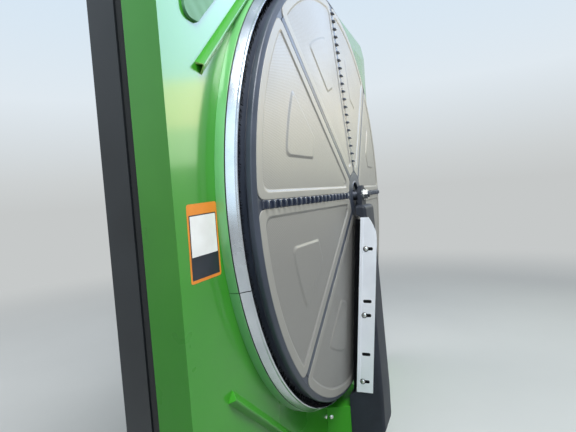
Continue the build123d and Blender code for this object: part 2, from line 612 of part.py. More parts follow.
# Fixed axle: flange on the cross member, bearing seat, and a stud through the duct's tab
tab_rear_y = TAB_FRONT_Y + TAB_T
with BuildPart() as axle:
    add(ring_of([(0, CROSS_FRONT_Y), (SHAFT_FLANGE_R, CROSS_FRONT_Y), (SHAFT_FLANGE_R, CROSS_FRONT_Y - 12),
                 (SHAFT_R, CROSS_FRONT_Y - 16), (SHAFT_R, tab_rear_y), (STUD_R, tab_rear_y),
                 (STUD_R, TAB_FRONT_Y - 19), (STUD_R - 2, TAB_FRONT_Y - 21), (0, TAB_FRONT_Y - 21)]))
keep(axle, "axle")

# Flanged nut that clamps the tab on the stud
with BuildPart() as axle_nut:
    with BuildSketch(at_depth(TAB_FRONT_Y)):
        Circle(NUT_R)
        Circle(STUD_R, mode=Mode.SUBTRACT)
    extrude(amount=3)
    with BuildSketch(at_depth(TAB_FRONT_Y - 3)):
        RegularPolygon(NUT_R * 0.95, 6)
        Circle(STUD_R, mode=Mode.SUBTRACT)
    extrude(amount=13)
keep(axle_nut, "axle_nut")

# Suction duct: open towards the screen, closed across the rim, open again to its seat
duct_side = [(tab_rear_y, DUCT_TOP_Z), (DUCT_FRONT_TOP_Y, DUCT_TOP_Z), (DUCT_FRONT_LOW_Y, DUCT_LOW_Z),
             (DUCT_FRONT_LOW_Y, DUCT_BEND_Z), (DUCT_SEAT_Y, DUCT_FOOT_Z), (DUCT_SEAT_Y, DUCT_SEAT_TOP_Z),
             (MOUTH_LOW_Y, MOUTH_LOW_Z), (MOUTH_TOP_Y, MOUTH_TOP_Z), (tab_rear_y, MOUTH_TOP_Z + DUCT_STEP)]
foot_slope = (DUCT_FOOT_Z - DUCT_BEND_Z) / (DUCT_SEAT_Y - DUCT_FRONT_LOW_Y)
t = DUCT_WALL
foot_lift = t * hypot(1, foot_slope)
past_seat_y = DUCT_SEAT_Y + 20
hollow_bend = (DUCT_FRONT_LOW_Y + t, DUCT_BEND_Z + foot_slope * t + foot_lift)
duct_hollow = [
    (DUCT_FRONT_TOP_Y + t, DUCT_TOP_Z - t), (TAB_FRONT_Y, DUCT_TOP_Z - t), (TAB_FRONT_Y, MOUTH_TOP_Z - t),
    (MOUTH_TOP_Y + 20, MOUTH_TOP_Z - t), (MOUTH_LOW_Y + 20, MOUTH_LOW_Z), (MOUTH_LOW_Y - t, MOUTH_LOW_Z - t),
    (DUCT_SEAT_Y - t, DUCT_SEAT_TOP_Z - t), (DUCT_SEAT_Y - t, SADDLE_TOP_Z - t),
    (past_seat_y, SADDLE_TOP_Z - t),
    (past_seat_y, DUCT_FOOT_Z + foot_slope * (past_seat_y - DUCT_SEAT_Y) + foot_lift),
    hollow_bend, (DUCT_FRONT_LOW_Y + t, DUCT_LOW_Z),
]


def duct_body(points, half_w, top_corner, bend_corner, inset):
    """Prism of a side outline whose top and bend, and the edges along its front, are rounded."""
    with BuildPart() as body:
        add(prism_x(points, -half_w, half_w))
        for (y, z), radius in ((top_corner, DUCT_TOP_R), (bend_corner, DUCT_BEND_R)):
            across = body.edges().filter_by(Axis.X)
            fillet(across.sort_by(lambda e: hypot(e.center().Y - y, e.center().Z - z))[0], radius - inset)
        front_y, mid_z = (DUCT_FRONT_TOP_Y + DUCT_FRONT_LOW_Y) / 2, (DUCT_TOP_Z + DUCT_LOW_Z) / 2
        front = [e for e in body.edges() if abs(abs(e.center().X) - half_w) < 0.01
                 and hypot(e.center().Y - front_y, e.center().Z - mid_z) < DUCT_EDGE_R]
        fillet(front, DUCT_EDGE_R - inset)
    return body.part


with BuildPart() as suction_duct:
    add(duct_body(duct_side, DUCT_HALF_W, duct_side[1], duct_side[3], 0))
    add(duct_body(duct_hollow, DUCT_HALF_W - t, duct_hollow[0], hollow_bend, t), mode=Mode.SUBTRACT)
    with BuildSketch(at_depth(tab_rear_y)):
        Circle(TAB_R)
        with Locations((0, (DUCT_TOP_Z - 4) / 2)):
            Rectangle(2 * TAB_R, -(DUCT_TOP_Z - 4))
    extrude(amount=TAB_T)
    with BuildSketch(at_depth(tab_rear_y)):
        Circle(STUD_R + BEARING_CLEAR)
    extrude(amount=TAB_T, mode=Mode.SUBTRACT)
keep(suction_duct, "suction_duct")

# Bright wear plates on the duct's sides, along the mouth: slotted, with a folded hem at the mouth's edge
mouth_slope = (MOUTH_LOW_Y - MOUTH_TOP_Y) / (MOUTH_LOW_Z - MOUTH_TOP_Z)
plate_out = PLATE_W * hypot(1, mouth_slope)


def mouth_y(z):
    """Depth of the duct's mouth edge at a height."""
    return MOUTH_TOP_Y + mouth_slope * (z - MOUTH_TOP_Z)


def on_plate(offset, z):
    """Point of the plate, an offset ahead of the mouth's edge."""
    return mouth_y(z) - offset, z


curve_z = MOUTH_TOP_Z - PLATE_CURVE
for side, sign in (("left", -1), ("right", 1)):
    with BuildPart() as wear_plate:
        with BuildSketch(Plane.YZ.offset(sign * DUCT_HALF_W)) as outline:
            with BuildLine():
                Polyline(on_plate(plate_out, curve_z), on_plate(plate_out, MOUTH_LOW_Z),
                         on_plate(0, MOUTH_LOW_Z), on_plate(0, MOUTH_TOP_Z), on_plate(PLATE_TOP_W, MOUTH_TOP_Z))
                ThreePointArc(on_plate(PLATE_TOP_W, MOUTH_TOP_Z),
                              on_plate((PLATE_TOP_W + plate_out) / 2 + 4, (MOUTH_TOP_Z + curve_z) / 2 + 4),
                              on_plate(plate_out, curve_z))
            make_face()
            with Locations(*[on_plate(SLOT_OFFSET, z) for z in SLOT_Z]):
                SlotOverall(SLOT_L, SLOT_W, mode=Mode.SUBTRACT)
        extrude(amount=sign * PLATE_T)
        hem = [on_plate(0, MOUTH_LOW_Z), on_plate(0, MOUTH_TOP_Z), on_plate(HEM_W, MOUTH_TOP_Z),
               on_plate(HEM_W, MOUTH_LOW_Z)]
        hem_x = sign * (DUCT_HALF_W + PLATE_T)
        add(prism_x(hem, min(hem_x, hem_x + sign * HEM_T), max(hem_x, hem_x + sign * HEM_T)))
    keep(wear_plate, f"wear_plate_{side}")

# Bristle strips inside the duct's side walls, reaching to just above the turning ridges
tip_lift = RIDGE_H + STRIP_CLEAR
strip_x = DUCT_HALF_W - DUCT_WALL - STRIP_T
strip_top_z, strip_low_z = MOUTH_TOP_Z - 6, MOUTH_LOW_Z + 30


def tip_y(z):
    """Depth of the bristle tips at a height."""
    return cone_y(hypot(strip_x, z), tip_lift)


strip_side = [(mouth_y(strip_top_z) - STRIP_HOLD, strip_top_z), (mouth_y(strip_low_z) - STRIP_HOLD, strip_low_z),
              (tip_y(strip_low_z), strip_low_z), (tip_y(strip_top_z), strip_top_z)]
for side, x_low in (("left", -strip_x - STRIP_T), ("right", strip_x)):
    with BuildPart() as brush_strip:
        add(prism_x(strip_side, x_low, x_low + STRIP_T))
    keep(brush_strip, f"brush_strip_{side}")

# Raised seat on the panel under the duct's foot
seat_height = PANEL_Y - DUCT_SEAT_Y
saddle_mid = (SADDLE_TOP_Z + DUCT_FOOT_Z) / 2
saddle_span = SADDLE_TOP_Z - DUCT_FOOT_Z
with BuildPart() as duct_saddle:
    with BuildSketch(at_depth(PANEL_Y)):
        with Locations((0, saddle_mid)):
            Rectangle(2 * SADDLE_BASE_HALF_W, saddle_span + 20)
    with BuildSketch(at_depth(DUCT_SEAT_Y)):
        with Locations((0, saddle_mid)):
            Rectangle(2 * DUCT_HALF_W, saddle_span)
    loft(ruled=True)
    with BuildSketch(at_depth(PANEL_Y)):
        with Locations((0, saddle_mid)):
            Rectangle(2 * (SADDLE_BASE_HALF_W - SADDLE_T), saddle_span + 20 - 2 * SADDLE_T)
    with BuildSketch(at_depth(DUCT_SEAT_Y + SADDLE_T)):
        with Locations((0, saddle_mid)):
            Rectangle(2 * (DUCT_HALF_W - SADDLE_T), saddle_span - 2 * SADDLE_T)
    loft(ruled=True, mode=Mode.SUBTRACT)
    with BuildSketch(at_depth(PANEL_Y)):
        with Locations((0, saddle_mid)):
            Rectangle(2 * (DUCT_HALF_W - 2 * DUCT_WALL), saddle_span - 4 * DUCT_WALL)
    extrude(amount=seat_height + 1, mode=Mode.SUBTRACT)
keep(duct_saddle, "duct_saddle")

# Outlet spigot behind the panel
with BuildPart() as outlet_spigot:
    with BuildSketch(at_depth(panel_rear_y)):
        with Locations((0, SPIGOT_Z)):
            RectangleRounded(SPIGOT_FLANGE, SPIGOT_FLANGE, 10)
    extrude(amount=-SHEET)
    with BuildSketch(at_depth(panel_rear_y)):
        with Locations((0, SPIGOT_Z)):
            Circle(SPIGOT_R)
    extrude(amount=-(SPIGOT_REAR_Y - panel_rear_y))
    with BuildSketch(at_depth(panel_rear_y)):
        with Locations((0, SPIGOT_Z)):
            Circle(SPIGOT_R - SPIGOT_WALL)
    extrude(amount=-(SPIGOT_REAR_Y - panel_rear_y), mode=Mode.SUBTRACT)
keep(outlet_spigot, "outlet_spigot")

# Hinge knuckles on the door's right side
with BuildPart() as door_knuckles:
    for z in HINGE_Z:
        with BuildSketch(Plane.XY.offset(z - KNUCKLE_HALF)):
            with Locations((hinge_x, HINGE_Y)):
                Circle(KNUCKLE_R)
            with Locations(((RIGHT_X + hinge_x) / 2, HINGE_Y)):
                Rectangle(hinge_x - RIGHT_X, HINGE_ARM)
            with Locations((hinge_x, HINGE_Y)):
                Circle(PIN_R + BEARING_CLEAR, mode=Mode.SUBTRACT)
        extrude(amount=2 * KNUCKLE_HALF)
keep(door_knuckles, "door_knuckles")

# Latch body behind the door's left side, with a slot open to the rear for the striker
pin_x = frame_x[0] + FRAME_FRONT_W + LATCH_CLEAR + LATCH_HALF_W
pin_y = LATCH_REAR_Y - LATCH_SLOT_DEPTH / 2
with BuildPart() as door_latch:
    with BuildSketch(at_depth(panel_rear_y)):
        with Locations((pin_x, LATCH_Z)):
            Rectangle(2 * LATCH_HALF_W, 2 * LATCH_HALF_H + 40)
    extrude(amount=-5)
    with BuildSketch(at_depth(panel_rear_y)):
        with Locations((pin_x, LATCH_Z)):
            Rectangle(2 * LATCH_HALF_W, 2 * LATCH_HALF_H)
    extrude(amount=-(LATCH_REAR_Y - panel_rear_y))
    with BuildSketch(at_depth(LATCH_REAR_Y)):
        with Locations((pin_x, LATCH_Z)):
            Rectangle(2 * STRIKER_R + 6, 2 * LATCH_HALF_H)
    extrude(amount=LATCH_SLOT_DEPTH, mode=Mode.SUBTRACT)
keep(door_latch, "door_latch")

# Striker on the frame's left rail: a pin between two lugs
striker_seat_y = FRAME_WALL - FRAME_DEPTH
striker_low, striker_high = frame_x[0] + FRAME_WALL, pin_x + STRIKER_R + 3
with BuildPart() as latch_striker:
    for low in (LATCH_Z + LATCH_HALF_H + 6, LATCH_Z - LATCH_HALF_H - 11):
        with BuildSketch(Plane.XY.offset(low)):
            with Locations(((striker_low + striker_high) / 2, striker_seat_y + LUG_DEPTH / 2)):
                Rectangle(striker_high - striker_low, LUG_DEPTH)
        extrude(amount=5)
    with BuildSketch(Plane.XY.offset(LATCH_Z - LATCH_HALF_H - 11)):
        with Locations((pin_x, pin_y)):
            Circle(STRIKER_R)
    extrude(amount=2 * LATCH_HALF_H + 22)
keep(latch_striker, "latch_striker")

# Belt path: straight runs tangent to the circles, with the guide pulley on the belt's back
groove_r = RIM_SIDE_R - GROOVE_DEPTH
mid = BELT_T / 2 + SEAT_GAP
BELT_WHEELS = ((0.0, 0.0, groove_r + mid, 1), (DRIVE_X, DRIVE_Z, DRIVE_R + mid, 1),
               (TENSION_X, TENSION_Z, TENSION_R + mid, 1), (GUIDE_X, GUIDE_Z, GUIDE_R + mid, -1))


def tangent(first, second, shift):
    """Run from one wheel to the next, moved outwards by the shift; wheels turn clockwise."""
    (x1, z1, r1, s1), (x2, z2, r2, s2) = first, second
    q1, q2 = s1 * r1 + shift, s2 * r2 + shift
    span = hypot(x2 - x1, z2 - z1)
    heading = atan2(z2 - z1, x2 - x1) + asin((q2 - q1) / span)
    nx, nz = -sin(heading), cos(heading)
    return (x1 + q1 * nx, z1 + q1 * nz), (x2 + q2 * nx, z2 + q2 * nz)


def belt_edges(shift):
    """Closed outline of the belt's middle line, moved outwards by the shift."""
    wheels = list(BELT_WHEELS)
    runs = [tangent(a, b, shift) for a, b in zip(wheels, wheels[1:] + wheels[:1])]
    for run, next_run, wheel in zip(runs, runs[1:] + runs[:1], wheels[1:] + wheels[:1]):
        x, z, radius, side = wheel
        Line(run[0], run[1])
        reach = abs(side * radius + shift)
        start = atan2(run[1][1] - z, run[1][0] - x)
        end = atan2(next_run[0][1] - z, next_run[0][0] - x)
        sweep = ((start - end) if side > 0 else (end - start)) % radians(360)
        half = start - side * sweep / 2
        ThreePointArc(run[1], (x + reach * cos(half), z + reach * sin(half)), next_run[0])


with BuildPart() as drive_belt:
    with BuildSketch(at_depth(GROOVE_Y)):
        with BuildLine():
            belt_edges(BELT_T / 2)
        make_face()
        with BuildLine():
            belt_edges(-BELT_T / 2)
        make_face(mode=Mode.SUBTRACT)
    extrude(amount=BELT_W / 2, both=True)
keep(drive_belt, "drive_belt")

# Plate behind the pulleys on four standoffs from the panel's back
plate_rear_y = DRIVE_PLATE_Y + DRIVE_PLATE_T
with BuildPart() as drive_plate:
    with BuildSketch(at_depth(plate_rear_y)):
        with Locations(*STANDOFFS, (TENSION_X, TENSION_Z), (GUIDE_X, GUIDE_Z)):
            Circle(PLATE_EDGE)
        with Locations((DRIVE_X, DRIVE_Z)):
            Circle(BEARING_R + SHEET)
        make_hull()
        with Locations((DRIVE_X, DRIVE_Z)):
            Circle(DRIVE_SHAFT_R + 6, mode=Mode.SUBTRACT)
    extrude(amount=DRIVE_PLATE_T)
    with BuildSketch(at_depth(DRIVE_PLATE_Y)):
        with Locations(*STANDOFFS):
            Circle(STANDOFF_R)
    extrude(amount=DRIVE_PLATE_Y - panel_rear_y)
    add(fold_wedges(SHEET), mode=Mode.SUBTRACT)
keep(drive_plate, "drive_plate")

with BuildPart() as drive_bearing:
    with BuildSketch(at_depth(plate_rear_y)):
        with Locations((DRIVE_X, DRIVE_Z)):
            Circle(BEARING_R)
            Circle(DRIVE_SHAFT_R + BEARING_CLEAR, mode=Mode.SUBTRACT)
    extrude(amount=-8)
    with BuildSketch(at_depth(plate_rear_y + 8)):
        with Locations((DRIVE_X, DRIVE_Z)):
            Circle(BEARING_BOSS_R)
            Circle(DRIVE_SHAFT_R + BEARING_CLEAR, mode=Mode.SUBTRACT)
    extrude(amount=-18)
keep(drive_bearing, "drive_bearing")

# Fixed stub pins of the two idlers, headed at the front
head_y = GROOVE_Y - PULLEY_HALF_W - 3
with BuildPart() as idler_pins:
    for x, z in ((GUIDE_X, GUIDE_Z), (TENSION_X, TENSION_Z)):
        with BuildSketch(at_depth(DRIVE_PLATE_Y)):
            with Locations((x, z)):
                Circle(STUB_R)
        extrude(amount=DRIVE_PLATE_Y - head_y)
        with BuildSketch(at_depth(head_y + 2)):
            with Locations((x, z)):
                Circle(STUB_R + 4)
        extrude(amount=2)
keep(idler_pins, "idler_pins")


# Pulleys: grooved drive and tension pulleys, plain guide pulley
def pulley_ring(x, z, running_r, flange, bore):
    """Pulley centred on the belt's plane, with side flanges and a bore where they are wanted."""
    with BuildPart() as pulley:
        with BuildSketch(at_depth(GROOVE_Y)):
            with Locations((x, z)):
                Circle(running_r)
        extrude(amount=PULLEY_HALF_W, both=True)
        if flange:
            for y in (GROOVE_Y - PULLEY_HALF_W + 2, GROOVE_Y + PULLEY_HALF_W):
                with BuildSketch(at_depth(y)):
                    with Locations((x, z)):
                        Circle(running_r + flange)
                extrude(amount=2)
        if bore:
            with BuildSketch(at_depth(GROOVE_Y)):
                with Locations((x, z)):
                    Circle(bore)
            extrude(amount=PULLEY_HALF_W + 5, both=True, mode=Mode.SUBTRACT)
    return pulley.part


with BuildPart() as drive_pulley:
    add(pulley_ring(DRIVE_X, DRIVE_Z, DRIVE_R, PULLEY_FLANGE, 0))
    with BuildSketch(at_depth(GROOVE_Y)):
        with Locations((DRIVE_X, DRIVE_Z)):
            Circle(DRIVE_SHAFT_R)
    extrude(amount=-(DRIVE_END_Y - GROOVE_Y))
    with BuildSketch(at_depth(DRIVE_END_Y)):
        with Locations((DRIVE_X, DRIVE_Z)):
            Circle(DRIVE_END_R)
    extrude(amount=-(DRIVE_SHAFT_REAR_Y - DRIVE_END_Y))
keep(drive_pulley, "drive_pulley")

with BuildPart() as guide_pulley:
    add(pulley_ring(GUIDE_X, GUIDE_Z, GUIDE_R, 0, STUB_R + BEARING_CLEAR))
keep(guide_pulley, "guide_pulley")

with BuildPart() as tension_pulley:
    add(pulley_ring(TENSION_X, TENSION_Z, TENSION_R, PULLEY_FLANGE, STUB_R + BEARING_CLEAR))
keep(tension_pulley, "tension_pulley")
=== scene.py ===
"""Rotary air screen door of a combine harvester, dressed piece by piece in the order it is assembled.

Points are worked out in millimetres in the part's own frame and written to the meshes in metres.
"""

import bmesh
import bpy
import numpy as np
from mathutils import Matrix, Vector


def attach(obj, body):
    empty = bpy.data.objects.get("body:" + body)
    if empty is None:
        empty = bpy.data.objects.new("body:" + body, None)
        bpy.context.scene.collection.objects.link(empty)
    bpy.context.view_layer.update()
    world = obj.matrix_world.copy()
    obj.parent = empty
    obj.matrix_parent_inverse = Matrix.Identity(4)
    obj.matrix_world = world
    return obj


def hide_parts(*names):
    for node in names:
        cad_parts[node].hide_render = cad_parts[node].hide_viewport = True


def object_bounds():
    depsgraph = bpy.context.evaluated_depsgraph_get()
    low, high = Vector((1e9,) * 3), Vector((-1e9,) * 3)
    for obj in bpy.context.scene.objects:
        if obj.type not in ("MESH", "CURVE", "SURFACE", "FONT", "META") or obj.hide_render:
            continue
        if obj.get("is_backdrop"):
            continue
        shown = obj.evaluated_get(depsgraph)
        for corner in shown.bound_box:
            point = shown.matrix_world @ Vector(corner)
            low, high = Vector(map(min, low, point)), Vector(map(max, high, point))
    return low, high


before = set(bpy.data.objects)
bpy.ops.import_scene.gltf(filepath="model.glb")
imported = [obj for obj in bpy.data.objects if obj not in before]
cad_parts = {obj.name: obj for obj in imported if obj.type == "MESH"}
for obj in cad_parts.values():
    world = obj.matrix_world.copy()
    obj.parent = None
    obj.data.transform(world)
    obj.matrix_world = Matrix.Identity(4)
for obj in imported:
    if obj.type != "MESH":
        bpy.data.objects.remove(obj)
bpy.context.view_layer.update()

# Mounting frame: a folded steel channel bolted to the radiator's air box. Sprayed dark satin enamel,
# which pools a little unevenly and shows a fine orange peel under raking light.


def linear(hex_colour):
    """Linear colour of an sRGB hex value: below 0.04045 divided by 12.92, above it a power of 2.4."""
    srgb = np.array([int(hex_colour[i:i + 2], 16) for i in (1, 3, 5)]) / 255
    return (*np.where(srgb <= 0.04045, srgb / 12.92, ((srgb + 0.055) / 1.055) ** 2.4).tolist(), 1.0)


def put(tree, kind, sockets=None, **settings):
    """Adds a node; sockets maps an input's name or number to a value or to another node's output."""
    made = tree.nodes.new("ShaderNode" + kind)
    for key, value in settings.items():
        setattr(made, key, value)
    for key, value in (sockets or {}).items():
        if isinstance(value, bpy.types.NodeSocket):
            tree.links.new(value, made.inputs[key])
        else:
            made.inputs[key].default_value = value
    return made


def finish(name, light, dark, patch_mm, rough, grain_mm, grain_height_mm, stretch=(1, 1, 1), **shader):
    """Material whose colour drifts between two tones in patches and whose grain is a noise bump.

    Returns the material, its tree, the shader, the mixed colour, the grain's height and the coordinates.
    """
    material = bpy.data.materials.new(name)
    material.use_nodes = True
    tree = material.node_tree
    tree.nodes.clear()
    coords = put(tree, "TexCoord")
    placed = put(tree, "Mapping", {"Vector": coords.outputs["Object"], "Scale": stretch})
    patch = put(tree, "TexNoise", {"Vector": coords.outputs["Object"], "Scale": 1000 / patch_mm, "Detail": 4.0})
    grain = put(tree, "TexNoise", {"Vector": placed.outputs[0], "Scale": 1000 / grain_mm, "Detail": 3.0})
    span = put(tree, "MapRange", {"Value": patch.outputs["Fac"], "From Min": 0.35, "From Max": 0.65})
    tone = put(tree, "Mix", {0: span.outputs[0], 6: linear(dark), 7: linear(light)}, data_type="RGBA")
    shine = put(tree, "MapRange", {"Value": patch.outputs["Fac"], "From Min": 0.3, "From Max": 0.7,
                                   "To Min": rough[0], "To Max": rough[1]})
    bump = put(tree, "Bump", {"Height": grain.outputs["Fac"], "Distance": grain_height_mm / 1000})
    base = put(tree, "BsdfPrincipled", {"Base Color": tone.outputs[2], "Roughness": shine.outputs[0],
                                        "Normal": bump.outputs[0], **shader})
    end = put(tree, "OutputMaterial", {"Surface": base.outputs[0]})
    end.is_active_output = True
    return material, tree, base, tone.outputs[2], bump, coords


dark_enamel = finish("satin_dark_enamel", "#2b2e31", "#232629", 160, (0.38, 0.5), 1.6, 0.03,
                     **{"Coat Weight": 0.15, "Coat Roughness": 0.35})[0]


def dressed(node, body, material, bevel_mm=1.0, angle=32.0):
    """Copy of a CAD node with its doubles merged, flat faces joined and its edges slightly rounded."""
    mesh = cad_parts[node].data.copy()
    loose = bmesh.new()
    loose.from_mesh(mesh)
    bmesh.ops.remove_doubles(loose, verts=loose.verts, dist=2e-6)
    bmesh.ops.dissolve_limit(loose, angle_limit=np.radians(0.6), verts=loose.verts, edges=loose.edges)
    loose.to_mesh(mesh)
    loose.free()
    mesh.materials.clear()
    mesh.materials.append(material)
    made = bpy.data.objects.new(node + "_dressed", mesh)
    bpy.context.scene.collection.objects.link(made)
    mesh.shade_smooth()
    mesh.set_sharp_from_angle(angle=np.radians(angle))
    if bevel_mm:
        edge = made.modifiers.new("edge", "BEVEL")
        edge.width, edge.segments, edge.limit_method = bevel_mm / 1000, 2, "ANGLE"
        edge.angle_limit, edge.harden_normals = np.radians(angle), True
    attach(made, body)
    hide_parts(node)
    return made


dressed("mounting_frame", "frame", dark_enamel, 1.2)
dressed("hinge_lugs", "frame", dark_enamel, 1.5)

# Rubber seal pressed on the frame's front flange. Extruded black rubber with a dusty bloom and a soft,
# slightly rounded section; the door's lip squeezes it.
seal_rubber = finish("extruded_black_rubber", "#232323", "#1a1a1b", 60, (0.6, 0.75), 0.8, 0.05)[0]
dressed("frame_seal", "frame", seal_rubber, 4.0)

# Hinge pins and latch striker: turned mild steel, oiled, with fine turning marks round them.
turned_steel = finish("turned_mild_steel", "#8f8f8e", "#7b7b7c", 30, (0.28, 0.42), 0.5, 0.02,
                      **{"Metallic": 1.0})[0]
dressed("hinge_pins", "frame", turned_steel, 0.8)
dressed("latch_striker", "frame", turned_steel, 0.8)

# Door panel: folded sheet steel in bright green gloss enamel. The paint has a clear wet coat, a faint
# orange peel and slow drifts of tone where dust has settled and been wiped. Low down the coat and the
# specular are turned down as painted shade, so the lower panel looks darker.
green_enamel, tree, base, tone, bump, coords = finish(
    "gloss_green_enamel", "#3d9226", "#358921", 260, (0.25, 0.35), 2.2, 0.012,
    **{"Coat Roughness": 0.12, "Coat IOR": 1.55})
# Coat weight and specular level fall towards the bottom: painted shade that darkens the lower panel.
place = put(tree, "SeparateXYZ", {0: coords.outputs["Object"]})
for socket, gloss_low_down, gloss_high_up in (("Coat Weight", 0.1, 1.0), ("Specular IOR Level", 0.06, 0.25)):
    gloss = put(tree, "MapRange", {"Value": place.outputs["Z"], "From Min": -0.65, "From Max": 0.05,
                                   "To Min": gloss_low_down, "To Max": gloss_high_up})
    tree.links.new(gloss.outputs[0], base.inputs[socket])
dressed("door_panel", "door", green_enamel, 2.0)
dressed("door_knuckles", "door", green_enamel, 1.0)
dressed("duct_saddle", "door", green_enamel, 2.0)
for corner in ("upper_left", "upper_right", "lower_left", "lower_right"):
    dressed("corner_rib_" + corner, "door", green_enamel, 1.0)


# Cut ends of the two upper ribs, which stay open: their end faces are painted pale yellowish green as a painted
# highlight, the light that catches the cut sheet.
# Each end is the rib's own end face, raised by 0.2 mm.
rib_end_highlight = finish("painted_highlight_rib_end", "#c3dc88", "#a9cd74", 20, (0.45, 0.6), 1.0, 0.01)[0]
end_raise = 0.0002
for corner, along in (("upper_left", Vector((1, 0, 1))), ("upper_right", Vector((1, 0, -1)))):
    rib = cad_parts["corner_rib_" + corner].data
    ends = bmesh.new()
    ends.from_mesh(rib)
    bmesh.ops.remove_doubles(ends, verts=ends.verts, dist=2e-6)
    ends.normal_update()
    inner = [face for face in ends.faces if abs(face.normal.dot(along.normalized())) < 0.99]
    bmesh.ops.delete(ends, geom=inner, context="FACES")
    lifted = bmesh.ops.extrude_face_region(ends, geom=ends.faces[:], use_keep_orig=True)["geom"]
    ends.normal_update()
    for vert in {item for item in lifted if isinstance(item, bmesh.types.BMVert)}:
        vert.co += vert.co.dot(along) / abs(vert.co.dot(along)) * along.normalized() * end_raise
    bmesh.ops.recalc_face_normals(ends, faces=ends.faces)
    # The extrusion's faces come in another order each run, so points and faces are put in order of place.
    for parts, middle in ((ends.verts, lambda vert: vert.co), (ends.faces, lambda face: face.calc_center_median())):
        in_place = sorted(parts, key=lambda part: tuple(round(value, 6) for value in middle(part)))
        for index, part in enumerate(in_place):
            part.index = index
        parts.sort()
    mesh = bpy.data.meshes.new("cut_ends_" + corner)
    ends.to_mesh(mesh)
    ends.free()
    mesh.materials.clear()
    mesh.materials.append(rib_end_highlight)
    made = bpy.data.objects.new("cut_ends_" + corner, mesh)
    bpy.context.scene.collection.objects.link(made)
    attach(made, "door")


# Vent plate in the upper left corner: a pressed cover over fine louvres, in the same green but matt with dust.
# The louvres are drawn as slanting ridges 5 mm apart.
vent_enamel, tree, base, tone, bump, coords = finish("dusty_green_enamel", "#6d9b7b", "#5d8d6c", 90, (0.5, 0.65),
                                                     1.5, 0.05)
louvre = put(tree, "Mapping", {"Vector": coords.outputs["Object"], "Rotation": (0, np.radians(50), 0)})
wave = put(tree, "TexWave", {"Vector": louvre.outputs[0], "Scale": 1000 / 5.0 / 20, "Distortion": 0.3},
           bands_direction="X")
relief = put(tree, "Bump", {"Height": wave.outputs["Fac"], "Distance": 0.0008, "Normal": bump.outputs[0]})
tree.links.new(relief.outputs[0], base.inputs["Normal"])
dressed("corner_vent", "door", vent_enamel, 1.2)

# Collar round the opening: green sheet rolled to a ring on the panel, with one seam low on the left where its
# two ends meet.


def grid_faces(rows, columns, wrap_rows, wrap_columns, start):
    """Quads between neighbouring points of a grid, numbered from start, wrapped where asked."""
    index = start + np.arange(rows * columns).reshape(rows, columns)
    if wrap_rows:
        index = np.vstack([index, index[:1]])
    if wrap_columns:
        index = np.hstack([index, index[:, :1]])
    return np.stack([index[:-1, :-1], index[:-1, 1:], index[1:, 1:], index[1:, :-1]], -1).reshape(-1, 4)


def surface(name, grids, body, material, replaces=(), angle=32.0):
    """Mesh from grids of points in mm, each with its wraps; a tube's open ends are closed by one face."""
    points, faces, start = [], [], 0
    for grid, wrap_rows, wrap_columns in grids:
        rows, columns = grid.shape[:2]
        points.append(grid.reshape(-1, 3) / 1000)
        faces += grid_faces(rows, columns, wrap_rows, wrap_columns, start).tolist()
        if wrap_columns and not wrap_rows:
            faces.append(list(range(start + columns - 1, start - 1, -1)))
            faces.append(list(range(start + (rows - 1) * columns, start + rows * columns)))
        start += rows * columns
    mesh = bpy.data.meshes.new(name)
    mesh.from_pydata(np.concatenate(points).tolist(), [], faces)
    shell = bmesh.new()
    shell.from_mesh(mesh)
    bmesh.ops.recalc_face_normals(shell, faces=shell.faces)
    shell.to_mesh(mesh)
    shell.free()
    mesh.materials.append(material)
    mesh.shade_smooth()
    mesh.set_sharp_from_angle(angle=np.radians(angle))
    made = bpy.data.objects.new(name, mesh)
    bpy.context.scene.collection.objects.link(made)
    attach(made, body)
    if replaces:
        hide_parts(*replaces)
    return made


def soften(corners, radius, steps=4):
    """Rounds a closed outline: each corner becomes a parabola that meets its sides at the radius."""
    here = np.asarray(corners, float)
    radius = np.broadcast_to(np.asarray(radius, float), len(here))[:, None]
    ends = []
    for other in (np.roll(here, 1, 0), np.roll(here, -1, 0)):
        side = other - here
        length = np.linalg.norm(side, axis=1, keepdims=True)
        ends.append(here + side / length * np.minimum(radius, 0.45 * length))
    t = np.linspace(0, 1, steps)[None, :, None]
    curve = (1 - t) ** 2 * ends[0][:, None] + 2 * t * (1 - t) * here[:, None] + t ** 2 * ends[1][:, None]
    return curve.reshape(-1, here.shape[1])


def revolved(profile, first=0.0, last=360.0, count=288):
    """Grid of a (radius, y) outline turned about the screen's axis between two angles from +X to +Z."""
    whole = last - first >= 360
    turns = np.radians(np.linspace(first, last, count, endpoint=not whole))
    radius, depth = np.asarray(profile, float).T
    grid = np.stack([np.outer(np.cos(turns), radius), np.broadcast_to(depth, (count, len(depth))),
                     np.outer(np.sin(turns), radius)], -1)
    return grid, whole, True


panel_y, rim_y, seam_angle = -157.0, -220.0, 195.0
collar_profile = soften([(662.5, -176.5), (665, -176.5), (667, panel_y), (664.5, panel_y)], 0.7)
# The collar's green is painted lighter than the panel's: painted light for the strong light from the left on its
# outward face.
collar_green_lit = finish("collar_green_painted_light", "#70b66f", "#64ab64", 260, (0.3, 0.4), 2.2, 0.012,
                       **{"Coat Weight": 1.0, "Coat Roughness": 0.12})[0]
surface("collar_sheet", [revolved(collar_profile, seam_angle + 0.08, seam_angle + 359.92, 361)],
        "door", collar_green_lit, ["opening_collar"])

